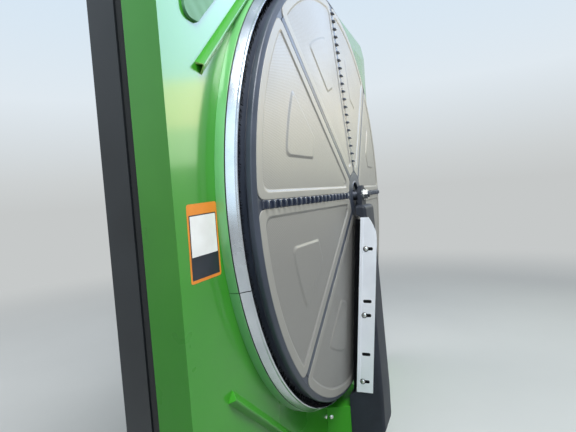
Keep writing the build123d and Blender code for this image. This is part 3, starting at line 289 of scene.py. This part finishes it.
# Seal band: polished stainless strip clamped ahead of the collar, its front edge rolled over. It carries
# the bristles and shows long streaks round the ring from polishing.
band_steel = finish("polished_stainless", "#c9ccd0", "#b4b8bd", 90, (0.18, 0.3), 0.8, 0.01,
                    **{"Metallic": 1.0})[0]
band_profile = soften([(650.2, rim_y + 22.5), (650.4, rim_y + 20.4), (652.4, rim_y + 19.8), (654.4, rim_y + 21.6),
                       (655.4, rim_y + 25.4), (663.5, rim_y + 41), (662.2, rim_y + 41), (662.2, rim_y + 52),
                       (660.7, rim_y + 52), (660.7, rim_y + 41)], 0.5)
surface("band_strip", [revolved(band_profile, seam_angle + 0.08, seam_angle + 359.92, 361)],
        "door", band_steel, ["seal_band"])

# Black ring in the joint between band and collar, just below their edges: painted shade for the shadow in the gap
# between them, made in the rubber's black.
gap_shade = soften([(662.3, -178.4), (663.6, -178.4), (663.6, -176.6), (662.3, -176.6)], 0.4)
surface("joint_gap_shade", [revolved(gap_shade)], "door", seal_rubber)

# Bristle ring: stiff black nylon bristles set radially in the band, their tips just clear of the rim.
# A bristle is a thin three-sided cone; a dark strip behind them is the root they are clamped in.
nylon = finish("black_nylon_bristle", "#151517", "#0b0b0d", 8, (0.5, 0.65), 1.0, 0.0,
               **{"Specular IOR Level": 0.03})[0]
shuffle = np.random.default_rng(7)


def bristles(roots, tips, width):
    """Three-sided cones from root points to tip points: a grid of two rows of three for each bristle."""
    way = tips - roots
    across = np.cross(way, [0.3, 1.0, 0.2])
    across /= np.linalg.norm(across, axis=1, keepdims=True)
    other = np.cross(way, across)
    other /= np.linalg.norm(other, axis=1, keepdims=True)
    turn = np.radians([90, 210, 330])
    star = across[:, None] * np.cos(turn)[None, :, None] + other[:, None] * np.sin(turn)[None, :, None]
    low = roots[:, None] + star * width
    high = tips[:, None] + star * width * 0.75
    return np.stack([low, high], 1)


def hair(name, roots, tips, width, body, material, replaces, backing):
    """Mesh of many bristles with their backing grids in one piece."""
    cones = bristles(roots, tips, width)
    count = len(cones)
    base = np.arange(count)[:, None, None] * 6
    sides = np.array([[0, 1, 4, 3], [1, 2, 5, 4], [2, 0, 3, 5]])
    quads = (base + sides).reshape(-1, 4).tolist()
    ends = np.concatenate([(np.arange(count)[:, None] * 6 + [2, 1, 0]), (np.arange(count)[:, None] * 6 + [3, 4, 5])])
    made = surface(name, backing, body, material, replaces)
    hairs = bpy.data.meshes.new(name + "_hairs")
    hairs.from_pydata((cones.reshape(-1, 3) / 1000).tolist(), [], quads + ends.tolist())
    joined = bmesh.new()
    joined.from_mesh(made.data)
    joined.from_mesh(hairs)
    bmesh.ops.recalc_face_normals(joined, faces=joined.faces)
    joined.to_mesh(made.data)
    joined.free()
    bpy.data.meshes.remove(hairs)
    return made


count = 4200
around = np.linspace(0, 2 * np.pi, count, endpoint=False) + shuffle.normal(0, 0.0015, count)
depth = shuffle.uniform(rim_y + 24.5, rim_y + 35.5, count)
root_r = 651 + 0.55 * (depth - rim_y - 21) - 0.8
tip_r = 629.8 + shuffle.uniform(0, 2.2, count)
lean = around + shuffle.normal(0, 0.004, count)
tip_depth = depth + shuffle.normal(0, 0.8, count)
hair("bristle_ring",
     np.stack([root_r * np.cos(around), depth, root_r * np.sin(around)], 1),
     np.stack([tip_r * np.cos(lean), tip_depth, tip_r * np.sin(lean)], 1), 0.55,
     "door", nylon, ["brush_ring"],
     [revolved([(644, rim_y + 25), (651.5, rim_y + 24), (658, rim_y + 36), (644, rim_y + 35)], count=180)])

# Screen frame: one big moulding of dark blue-grey nylon, with a rim, a hub disc and eight spokes. The
# mould leaves a fine matt grain, and the corners are softly rounded.
moulding = finish("moulded_dark_nylon", "#3f4450", "#363b46", 90, (0.34, 0.46), 1.4, 0.03)[0]
segment_r, cone_rise, face_step, sheet = 622.0, 49.0, 5.7, 2.0


def cone_depth(radius, lift=0.0):
    """Depth of the screen's face: it falls back in a straight line from the hub to the rim."""
    return rim_y - face_step - cone_rise * (1 - np.asarray(radius) / segment_r) - lift


rim_profile = soften([
    (602, cone_depth(602, -sheet)), (622.5, cone_depth(622.5, -sheet)), (622.5, cone_depth(622.5, 0.3)),
    (633, rim_y - 1.2), (635, rim_y + 1), (635, rim_y + 12), (629, rim_y + 16), (629, -148.5),
    (617, -146.5), (617, -133.5), (629, -131.5), (629, rim_y + 98), (605, rim_y + 98), (605, rim_y + 10),
    (602, cone_depth(602, -sheet - 6))], 1.6)
hub_profile = soften([(40, cone_depth(74) - 1.5), (43, cone_depth(74) - 2.2), (46, cone_depth(74)),
                      (75, cone_depth(75)), (75, cone_depth(75, -sheet)), (82, cone_depth(82, -sheet)),
                      (82, cone_depth(74) + 10), (40, cone_depth(74) + 10)], 0.8)


def bar_grid(section, start, end):
    """Bar along +X: an outline of (z, lift) carried from one radius to another at the cone's slope."""
    radii = np.linspace(start, end, 12)
    z, lift = np.asarray(section, float).T
    grid = np.stack([np.broadcast_to(radii[:, None], (12, len(z))), cone_depth(radii)[:, None] - lift,
                     np.broadcast_to(z, (12, len(z)))], -1)
    return grid


def turned(grid, degrees):
    """Points turned about the screen's axis, from +X towards +Z."""
    c, s = np.cos(np.radians(degrees)), np.sin(np.radians(degrees))
    x, y, z = np.moveaxis(grid, -1, 0)
    return np.stack([x * c - z * s, y, x * s + z * c], -1)


screen_grids = [revolved(rim_profile), revolved(hub_profile, count=96)]
for quarter in range(0, 360, 90):
    for half, angle in ((9.0, quarter), (8.6, quarter + 45)):
        section = soften([(-half, 0), (half, 0), (half, -2.3), (half + 12, -2.3), (half + 12, -6.3), (half, -6.3),
                          (half, -27), (-half, -27), (-half, -6.3), (-half - 12, -6.3), (-half - 12, -2.3),
                          (-half, -2.3)], [1.2, 1.2, 0.3, 1, 1, 2, 1, 1, 2, 1, 1, 0.3])
        screen_grids.append((turned(bar_grid(section, 76, 606), angle), False, True))
surface("screen_moulding", screen_grids, "screen", moulding, ["rotor_frame"])

# Screen segments: stainless sheet, punched all over its field with fine holes. The field is pressed in inside
# a plain margin, and a pad stands up from its middle. The holes are 1.6 mm wide and 3.2 mm apart, too fine to
# show singly from a step away. The holes are not cut: they are painted as darker dots, painted shade for the
# dark seen through them.
segment_steel, tree, base, tone, bump, coords = finish(
    "perforated_stainless", "#a19d95", "#99958e", 180, (0.46, 0.54), 0.7, 0.01)
hole_pitch = 3.2
lattice = put(tree, "Mapping", {"Vector": coords.outputs["Object"], "Rotation": (0, np.radians(15), 0),
                                "Scale": (1000 / hole_pitch, 0, 1000 / hole_pitch)})
cells = put(tree, "TexVoronoi", {"Vector": lattice.outputs[0], "Scale": 1.0, "Randomness": 0.0})
hole = put(tree, "MapRange", {"Value": cells.outputs["Distance"], "From Min": 0.27, "From Max": 0.36,
                              "To Min": 1.0, "To Max": 0.0})
field = put(tree, "Attribute", attribute_name="punched").outputs["Fac"]
punched = put(tree, "Math", {0: hole.outputs[0], 1: field}, operation="MULTIPLY")
dulled = put(tree, "Mix", {0: field, 6: tone, 7: linear("#9d9a95")}, data_type="RGBA")
# Holes are painted darker dots: painted shade for the dark seen through the sheet.
hole_shade = put(tree, "Mix", {0: punched.outputs[0], 6: dulled.outputs[2], 7: linear("#837f79")}, data_type="RGBA")
tree.links.new(hole_shade.outputs[2], base.inputs["Base Color"])
metal = put(tree, "MapRange", {"Value": field, "To Min": 0.35, "To Max": 0.6})
tree.links.new(metal.outputs[0], base.inputs["Metallic"])


def wedge_loop(rim_inset, low_margin, high_margin, inner_r, wide, tight, hub, lift):
    """Loop round the segment between +X and 45 degrees: two straight sides, two arcs, four round corners."""
    outer = segment_r - rim_inset
    low, high = 9.5 + low_margin, 9.1 + high_margin
    diagonal = np.sqrt(0.5)
    reach_low, start_low = np.sqrt(outer ** 2 - low ** 2), np.sqrt(inner_r ** 2 - low ** 2)
    reach_high, start_high = np.sqrt(outer ** 2 - high ** 2), np.sqrt(inner_r ** 2 - high ** 2)

    def on_low(t):
        """Point at a distance along +X, a fixed height above it."""
        return np.stack([t, np.full_like(t, low)], -1)

    def on_high(t):
        """Point at a distance along the 45 degree line, a fixed height below it."""
        return np.stack([(t + high) * diagonal, (t - high) * diagonal], -1)

    def on_arc(a, r):
        """Point at an angle on a circle about the screen's axis."""
        return np.stack([r * np.cos(a), r * np.sin(a)], -1)

    def corner(a, b, c):
        """Parabola from a to c that is pulled towards b, without its two ends."""
        t = np.linspace(0, 1, 9)[1:-1, None]
        return (1 - t) ** 2 * a + 2 * t * (1 - t) * b + t ** 2 * c

    a_low, a_high = np.arcsin(low / outer), np.pi / 4 - np.arcsin(high / outer)
    b_low, b_high = np.arcsin(low / inner_r), np.pi / 4 - np.arcsin(high / inner_r)
    side_low = on_low(np.linspace(start_low + hub, reach_low - wide, 30))
    arc_out = on_arc(np.linspace(a_low + wide / outer, a_high - tight / outer, 36), outer)
    side_high = on_high(np.linspace(reach_high - tight, start_high + hub, 30))
    arc_in = on_arc(np.linspace(b_high - hub / inner_r, b_low + hub / inner_r, 8), inner_r)
    tips = [on_low(np.array([reach_low]))[0], on_high(np.array([reach_high]))[0],
            on_high(np.array([start_high]))[0], on_low(np.array([start_low]))[0]]
    loop = np.concatenate([side_low, corner(side_low[-1], tips[0], arc_out[0]), arc_out,
                           corner(arc_out[-1], tips[1], side_high[0]), side_high,
                           corner(side_high[-1], tips[2], arc_in[0]), arc_in,
                           corner(arc_in[-1], tips[3], side_low[0])])
    return np.stack([loop[:, 0], cone_depth(np.hypot(loop[:, 0], loop[:, 1]), lift), loop[:, 1]], -1)


edge_line = np.array([0.0, 0.0, 0.0, 76.0, 28.0, 28.0, 10.0])
field_line = np.array([24.0, 17.5, 24.0, 102.0, 28.0, 10.0, 8.0])
pad_line = np.array([130.0, 96.5, 96.5, 347.0, 22.0, 16.0, 9.0])
core_line = np.array([172.0, 122.0, 122.0, 398.0, 8.0, 8.0, 5.0])
inward = np.array([1.0, 1.0, 1.0, 1.0, 0.0, 0.0, 0.0])
front_rows = [(edge_line, -0.5), (edge_line + 0.5 * inward, 0.0), (edge_line + 1.5 * inward, 0.0)]
front_rows += [(field_line + step * inward, lift) for step, lift in (
    (-4.2, 0.0), (-3.2, 0.0), (-2.0, -0.3), (-0.6, -1.1), (0.8, -1.9), (2.2, -2.7), (3.4, -3.0), (4.4, -3.0))]
front_rows += [(field_line + share * (pad_line - field_line), -3.0) for share in (0.1, 0.3, 0.5, 0.7, 0.9)]
front_rows += [(pad_line + step * inward, lift) for step, lift in (
    (-4.6, -3.0), (-3.6, -3.0), (-2.4, -2.75), (-0.8, -2.1), (0.8, -1.5), (2.4, -0.85), (3.6, -0.6), (4.6, -0.6))]
front_rows += [(pad_line + share * (core_line - pad_line), -0.6) for share in (0.3, 0.6, 1.0)]
back_rows = [(line, lift - sheet + (0.5 if line is edge_line else 0)) for line, lift in front_rows[::-1]]
wedge = np.stack([wedge_loop(*line, lift) for line, lift in back_rows + front_rows])
in_field = np.array([line[0] > 22 for line, lift in back_rows + front_rows], float)
for index in range(8):
    shape = wedge if index % 2 == 0 else wedge * [1, 1, -1]
    made = surface(f"punched_segment_{index + 1}", [(turned(shape, 90 * ((index + 1) // 2)), False, True)],
                   "screen", segment_steel, [f"screen_segment_{index + 1}"], angle=50)
    share = made.data.attributes.new("punched", "FLOAT", "POINT")
    share.data.foreach_set("value", np.repeat(in_field, wedge.shape[1]))

# Toothed ridges: dark moulded strips clipped on every second spoke, with slim upright teeth that rake the
# chaff towards the duct. The teeth have arched crests; the strip and the crests are rubbed smooth and glossy.
ridge_nylon = finish("rubbed_navy_nylon", "#2a3040", "#202634", 40, (0.22, 0.32), 1.2, 0.02,
                     **{"Coat Weight": 0.6, "Coat Roughness": 0.15})[0]
middles = 111.2 + 25.4 * np.arange(20)
tooth = np.array([(-2.9, 1.0), (-2.6, 6.5), (-2.3, 8.3), (-1.5, 9.0), (1.5, 9.0), (2.3, 8.3), (2.6, 6.5), (2.9, 1.0)])
stations = np.concatenate([[93.0, 94.0], (middles[:, None] + tooth[:, 0]).ravel(), [605.0, 606.0]])
heights = np.concatenate([[0.2, 1.0], np.tile(tooth[:, 1], 20), [1.0, 0.2]])
across = np.array([(-8.5, 0), (-8.5, 0.5), (-8.1, 0.72), (-6.8, 0.89), (-4.0, 0.98), (0, 1), (4.0, 0.98), (6.8, 0.89),
                   (8.1, 0.72), (8.5, 0.5), (8.5, 0)])
lift = across[:, 1] * heights[:, None]
ridge = np.stack([np.broadcast_to(stations[:, None], lift.shape), cone_depth(stations)[:, None] - lift,
                  np.broadcast_to(across[:, 0], lift.shape)], -1)
for index in range(4):
    surface(f"toothed_ridge_{index + 1}", [(turned(ridge, 90 * index), False, True)], "screen",
            ridge_nylon, [f"spoke_ridge_{index + 1}"], angle=45)

# Hub bearing housing behind the hub disc: cast iron, painted dark, with turned shoulders.
cast_iron = finish("painted_cast_iron", "#303236", "#26282b", 50, (0.5, 0.65), 3.0, 0.15)[0]
dressed("hub_housing", "screen", cast_iron, 1.2)

# Axle: turned steel blackened with oil, flanged on the cross member, that carries the screen and holds the
# duct's tab.
black_steel = finish("blackened_steel", "#4a4c52", "#393b41", 30, (0.4, 0.55), 0.5, 0.02, **{"Metallic": 0.8})[0]
dressed("axle", "door", black_steel, 0.5)
dressed("cross_member", "door", dark_enamel, 2.0)

# Flanged nut on the axle's stud: bright zinc plated steel with a faint yellow cast.
zinc = finish("bright_zinc_plate", "#d5d6d2", "#c2c3bf", 12, (0.22, 0.36), 0.6, 0.02, **{"Metallic": 1.0})[0]
dressed("axle_nut", "door", zinc, 1.0)
dressed("door_latch", "door", zinc, 1.5)

# Suction duct: dark moulded nylon box in front of the screen, grained like the frame but a little bluer.
duct_nylon = finish("moulded_duct_nylon", "#2f323a", "#262930", 70, (0.5, 0.6), 1.4, 0.04,
                    **{"Specular IOR Level": 0.25})[0]
dressed("suction_duct", "door", duct_nylon, 1.0)
dressed("outlet_spigot", "door", dark_enamel, 1.0)

# Wear plates: mill-finished aluminium strips bolted along the duct's mouth, rolled marks along their length,
# slotted so that they can be pushed towards the screen as they wear: the slots are widened a little from the
# solids' slots. The right plate ends at the duct's front.
mill_aluminium = finish("mill_finish_aluminium", "#f2f3f7", "#e9eaef", 80, (0.34, 0.46), 1.0, 0.01,
                        stretch=(1, 1, 0.08), **{"Metallic": 0.3})[0]
mouth_slope = 48.0 / (-636 + 71)


def mouth_depth(z):
    """Depth of the duct's mouth edge, a straight line down the duct."""
    return rim_y - 77 + mouth_slope * (z + 71)


slot_heights, bolt_heights = (-170.0, -337.5, -382.5, -509.5, -599.5), (-170.0, -382.5, -599.5)
plate_depth, plate_top, plate_length, slot_widening = 52.2, -33.0, 618.0, 1.4
for side in ("left", "right"):
    plate = dressed("wear_plate_" + side, "door", mill_aluminium, 0.25)
    points = np.empty(len(plate.data.vertices) * 3)
    plate.data.vertices.foreach_get("co", points)
    points = points.reshape(-1, 3) * 1000
    if side == "right":
        front = -314.0 - 19.0 * (plate_top - points[:, 2]) / plate_length
        edge = mouth_depth(points[:, 2])
        points[:, 1] = edge + (points[:, 1] - edge) * np.minimum(1, (edge - front) / plate_depth)
    for z in slot_heights:
        near = abs(points[:, 2] - z) < 6
        points[near, 2] = z + (points[near, 2] - z) * slot_widening
    plate.data.vertices.foreach_set("co", (points / 1000).ravel())

# Plate bolts: zinc plated cup heads, each on a thin black ring that draws a dark outline round it, three in each
# plate, at the rear of their slots.
cup = np.array([(0.0, 3.8), (2.6, 3.6), (5.0, 2.7), (6.6, 1.4), (7.0, 0.0)])
turns = np.linspace(0, 2 * np.pi, 20, endpoint=False)
for side, sign in (("left", -1), ("right", 1)):
    heads = []
    for z in bolt_heights:
        ring = np.stack([np.broadcast_to(sign * (66.5 + cup[:, 1:]), (5, 20)),
                         mouth_depth(z) - 19 + np.outer(cup[:, 0] + 0.05, np.cos(turns)),
                         z + np.outer(cup[:, 0] + 0.05, np.sin(turns))], -1)
        heads.append((ring, False, True))
    surface("plate_bolts_" + side, heads, "door", zinc)
    dark_rings = [(np.stack([np.stack([np.full(20, sign * x), mouth_depth(z) - 19 + 8.8 * np.cos(turns),
                                    z + 8.8 * np.sin(turns)], -1) for x in (66.1, 67.4)]), False, True)
               for z in bolt_heights]
    surface("plate_dark_rings_" + side, dark_rings, "door", seal_rubber)

# Seat bolts: two more cup heads at the upper left of the duct's seat, one on the panel, one on the slope.
heads = []
for centre, normal in (((-118.0, -156.9, -706.0), (0, -1, 0)), ((-103.0, -169.3, -713.0), (-0.806, -0.592, 0))):
    ahead, over = np.array(normal, float), np.array([0, 0, 1.0])
    ring = (np.array(centre) + cup[:, None, 1:] * ahead + (cup[:, :1] + 0.05)[:, :, None]
            * (np.cos(turns)[:, None] * over + np.sin(turns)[:, None] * np.cross(ahead, over)))
    heads.append((ring, False, True))
surface("seat_bolts", heads, "door", zinc)

# Black strips behind the slots: painted shade, dark plates that stand for the shadow inside the open slots.
# The highest one on the right is shorter, because the plate is narrow there.
slot_shadow_paint = finish("painted_slot_shadow", "#141416", "#0d0d0f", 6, (0.8, 0.9), 0.8, 0.05, **{"Specular IOR Level": 0.1})[0]
for side, sign in (("left", -1), ("right", 1)):
    pads = []
    for z in slot_heights:
        reach = 1.0 if side == "left" or z < -200 else 0.57
        y = mouth_depth(z) + np.array([-42.5, -42.5, -12.5, -12.5]) * reach
        pad = np.stack([np.stack([np.full(4, sign * x), y, z + np.array([-6.5, 6.5, 6.5, -6.5])], -1)
                        for x in (64.0, 66.1)])
        pads.append((pad, False, True))
    surface("slot_shadow_strips_" + side, pads, "door", slot_shadow_paint)

# Bristle strips inside the duct's side walls: the same nylon, in two straight rows down to the ridges' tips.
# The lowest bristles fan out downwards over the rim.
for side, sign in (("left", -1), ("right", 1)):
    count = 5600
    x = sign * shuffle.uniform(53.9, 59.1, count)
    z = shuffle.uniform(-605.5, -77.5, count)
    roots = np.stack([x, mouth_depth(z) - 5, z], 1)
    fan = 36 * np.clip((-480 - z) / 126, 0, 1) ** 2
    tips = np.stack([x + shuffle.normal(0, 0.5, count), cone_depth(np.hypot(53.5, z), 10.5),
                     z - fan + shuffle.normal(0, 1.6, count)], 1)
    z_rows = np.array([-77.0, -606.0])
    strip = np.stack([np.stack([sign * np.array([53.6, 59.4, 59.4, 53.6]),
                                mouth_depth(end) + np.array([-7, -7, 4, 4.0]),
                                np.full(4, end)], -1) for end in z_rows])
    hair("bristle_strip_" + side, roots, tips, 0.6, "door", nylon, ["brush_strip_" + side],
         [(strip, False, True)])

# Belt drive behind the panel: a rubber V-belt round the rim's groove and three pressed steel pulleys on a
# dark plate, after the route that such doors use.
belt_rubber = finish("fabric_backed_belt_rubber", "#29292a", "#1c1c1d", 40, (0.55, 0.7), 0.9, 0.08)[0]
pulley_steel = finish("pressed_steel_enamel", "#33363a", "#292c30", 40, (0.35, 0.5), 1.2, 0.03)[0]
dressed("drive_belt", "door", belt_rubber, 1.5)
dressed("drive_plate", "door", dark_enamel, 1.0)
dressed("drive_bearing", "door", cast_iron, 1.0)
dressed("idler_pins", "door", turned_steel, 0.5)
dressed("drive_pulley", "drive_wheel", pulley_steel, 0.8)
dressed("guide_pulley", "guide_wheel", pulley_steel, 0.8)
dressed("tension_pulley", "tension_wheel", pulley_steel, 0.8)

# Label on the panel beside the opening: a vinyl sticker with an orange border, a white field and a dark
# lower field, left blank. Its three layers are thin rounded plates.


def sticker(name, corners, low_y, high_y, radius, colours):
    """Thin rounded plate from four (x, z) corners on the panel between two depths."""
    outline = soften(corners, radius, 6)
    rows = [np.stack([outline[:, 0], np.full(len(outline), y), outline[:, 1]], -1) for y in (low_y, high_y)]
    vinyl = finish("vinyl_" + name, *colours, 30, (0.3, 0.4), 2.0, 0.01)[0]
    return surface("label_" + name, [(np.stack(rows), False, True)], "door", vinyl)


label = np.array([(-762.0, 12.0), (-667.5, 15.0), (-667.5, -128.0), (-765.0, -128.0)])


def inner_field(left, right, bottom, top):
    """Corners of a field at shares of the label's width and height."""
    share = np.array([(left, top), (right, top), (right, bottom), (left, bottom)])[:, :, None]
    upper = label[0] * (1 - share[:, 0]) + label[1] * share[:, 0]
    lower = label[3] * (1 - share[:, 0]) + label[2] * share[:, 0]
    return lower * (1 - share[:, 1]) + upper * share[:, 1]


sticker("border", label, panel_y, panel_y - 0.25, 6, ("#ea8d2e", "#e08328"))
sticker("edge", inner_field(0.05, 0.95, 0.04, 0.86), panel_y, panel_y - 0.3, 1.5, ("#262a33", "#20242c"))
sticker("field", inner_field(0.08, 0.93, 0.33, 0.845), panel_y, panel_y - 0.35, 1.0, ("#f1efea", "#e9e6e0"))

# Floor, backdrop, lights and camera. The camera stands where the photograph was taken, close in front of
# the panel's left edge, and looks across the screen.
floor_paint, tree, base, tone, bump, coords = finish("pale_floor", "#cbcac6", "#c6c5c1", 900, (0.6, 0.7), 4.0, 0.0)
floor_size, floor_height = 40, -0.895
bpy.ops.mesh.primitive_plane_add(size=floor_size, location=(0, 0, floor_height))
floor = bpy.context.object
floor.name = "floor"
floor.data.materials.append(floor_paint)
floor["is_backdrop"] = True

# The floor bounces less light than the camera and the metal see in it, and far off it fades to the backdrop.


def backdrop_rays(tree):
    """Node that is 1 for camera, glossy and transmission rays, the largest of the three flags, and 0 otherwise."""
    rays = put(tree, "LightPath").outputs
    seen = put(tree, "Math", {0: rays["Is Glossy Ray"], 1: rays["Is Transmission Ray"]}, operation="MAXIMUM")
    return put(tree, "Math", {0: seen.outputs[0], 1: rays["Is Camera Ray"]}, operation="MAXIMUM")


horizon = "#c6c9c9"
shown = backdrop_rays(tree)
bounced = put(tree, "Mix", {0: shown.outputs[0], 6: linear("#84837f"), 7: tone}, data_type="RGBA")
tree.links.new(bounced.outputs[2], base.inputs["Base Color"])
distance = put(tree, "VectorMath", {0: coords.outputs["Object"]}, operation="LENGTH")
far = put(tree, "MapRange", {"Value": distance.outputs["Value"], "From Min": 1.6, "From Max": 5.0},
          interpolation_type="SMOOTHSTEP")
faded = put(tree, "Math", {0: far.outputs[0], 1: shown.outputs[0]}, operation="MULTIPLY")
haze = put(tree, "Emission", {"Color": linear(horizon)})
blend = put(tree, "MixShader", {0: faded.outputs[0], 1: base.outputs[0], 2: haze.outputs[0]})
tree.links.new(blend.outputs[0], tree.nodes["Material Output"].inputs["Surface"])

world = bpy.data.worlds.new("studio")
bpy.context.scene.world = world
world.use_nodes = True
tree = world.node_tree
tree.nodes.clear()
heading = put(tree, "SeparateXYZ", {0: put(tree, "TexCoord").outputs["Generated"]})
height = put(tree, "MapRange", {"Value": heading.outputs["Z"], "From Min": 0.0, "From Max": 0.5})
sweep = put(tree, "ValToRGB", {"Fac": height.outputs[0]})
sweep.color_ramp.elements[0].color, sweep.color_ramp.elements[1].color = linear(horizon), linear("#d3e6f6")
for place, colour in ((0.12, "#cdd1d2"), (0.45, "#e0e9f0")):
    stop = sweep.color_ramp.elements.new(place)
    stop.color = linear(colour)
shown = backdrop_rays(tree)
ambient = put(tree, "Background", {"Color": sweep.outputs["Color"], "Strength": 0.33})
backdrop = put(tree, "Background", {"Color": sweep.outputs["Color"], "Strength": 1.0})
mix = put(tree, "MixShader", {0: shown.outputs[0], 1: ambient.outputs[0], 2: backdrop.outputs[0]})
put(tree, "OutputWorld", {"Surface": mix.outputs[0]})

for name, place, aim, wide, high, power, colour in (
        ("softbox", (2.5, -2.1, 2.1), (-0.4, -0.9, 2.1), 2.0, 1.6, 52.0, "#c4dcff"),
        ("lower_softbox", (2.5, -2.1, 1.05), (-0.4, -0.9, 1.05), 2.0, 0.5, 15.0, "#ffedc4"),
        ("horizon", (2.5, -2.1, 0.6), (-0.4, -0.9, 0.6), 2.0, 0.4, 7.0, "#f2ffe0"),
        ("left", (-2.9, -1.6, 1.3), (-0.3, -0.3, 1.3), 2.4, 3.0, 29.0, "#d0edff"),
        ("key", (-1.2, -1.2, 2.1), (-0.6, -0.15, 0.6), 1.2, 1.0, 88.0, "#fbfdff"),
        ("back", (-0.5, 3.0, 2.4), (0, -0.1, 0), 2.6, 2.6, 60.0, "#ffffff")):
    lamp_data = bpy.data.lights.new(name, "AREA")
    lamp_data.shape, lamp_data.size, lamp_data.size_y, lamp_data.energy = "RECTANGLE", wide, high, power
    lamp_data.color = linear(colour)[:3]
    lamp_object = bpy.data.objects.new(name, lamp_data)
    bpy.context.scene.collection.objects.link(lamp_object)
    lamp_object.location = place
    lamp_object.rotation_euler = (Vector(aim) - Vector(place)).to_track_quat("-Z", "Y").to_euler()

camera_data = bpy.data.cameras.new("camera")
sensor_mm, focal_pixels, photo_wide = 36.0, 418.468, 576
camera_data.sensor_width, camera_data.lens = sensor_mm, focal_pixels * sensor_mm / photo_wide
camera = bpy.data.objects.new("camera", camera_data)
bpy.context.scene.collection.objects.link(camera)
right = Vector((0.38638432, -0.91955053, -0.07165177))
up = Vector((0.07536167, -0.04595021, 0.99609698))
ahead = Vector((0.91925392, 0.39027605, -0.05154442))
camera.matrix_world = Matrix.Translation((-1.35853, -0.59982, 0.01772)) @ Matrix(
    (right, up, -ahead)).transposed().to_4x4()
camera_data.clip_start = 0.01
bpy.context.scene.camera = camera
bpy.context.scene.view_settings.view_transform = "Standard"

low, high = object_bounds()
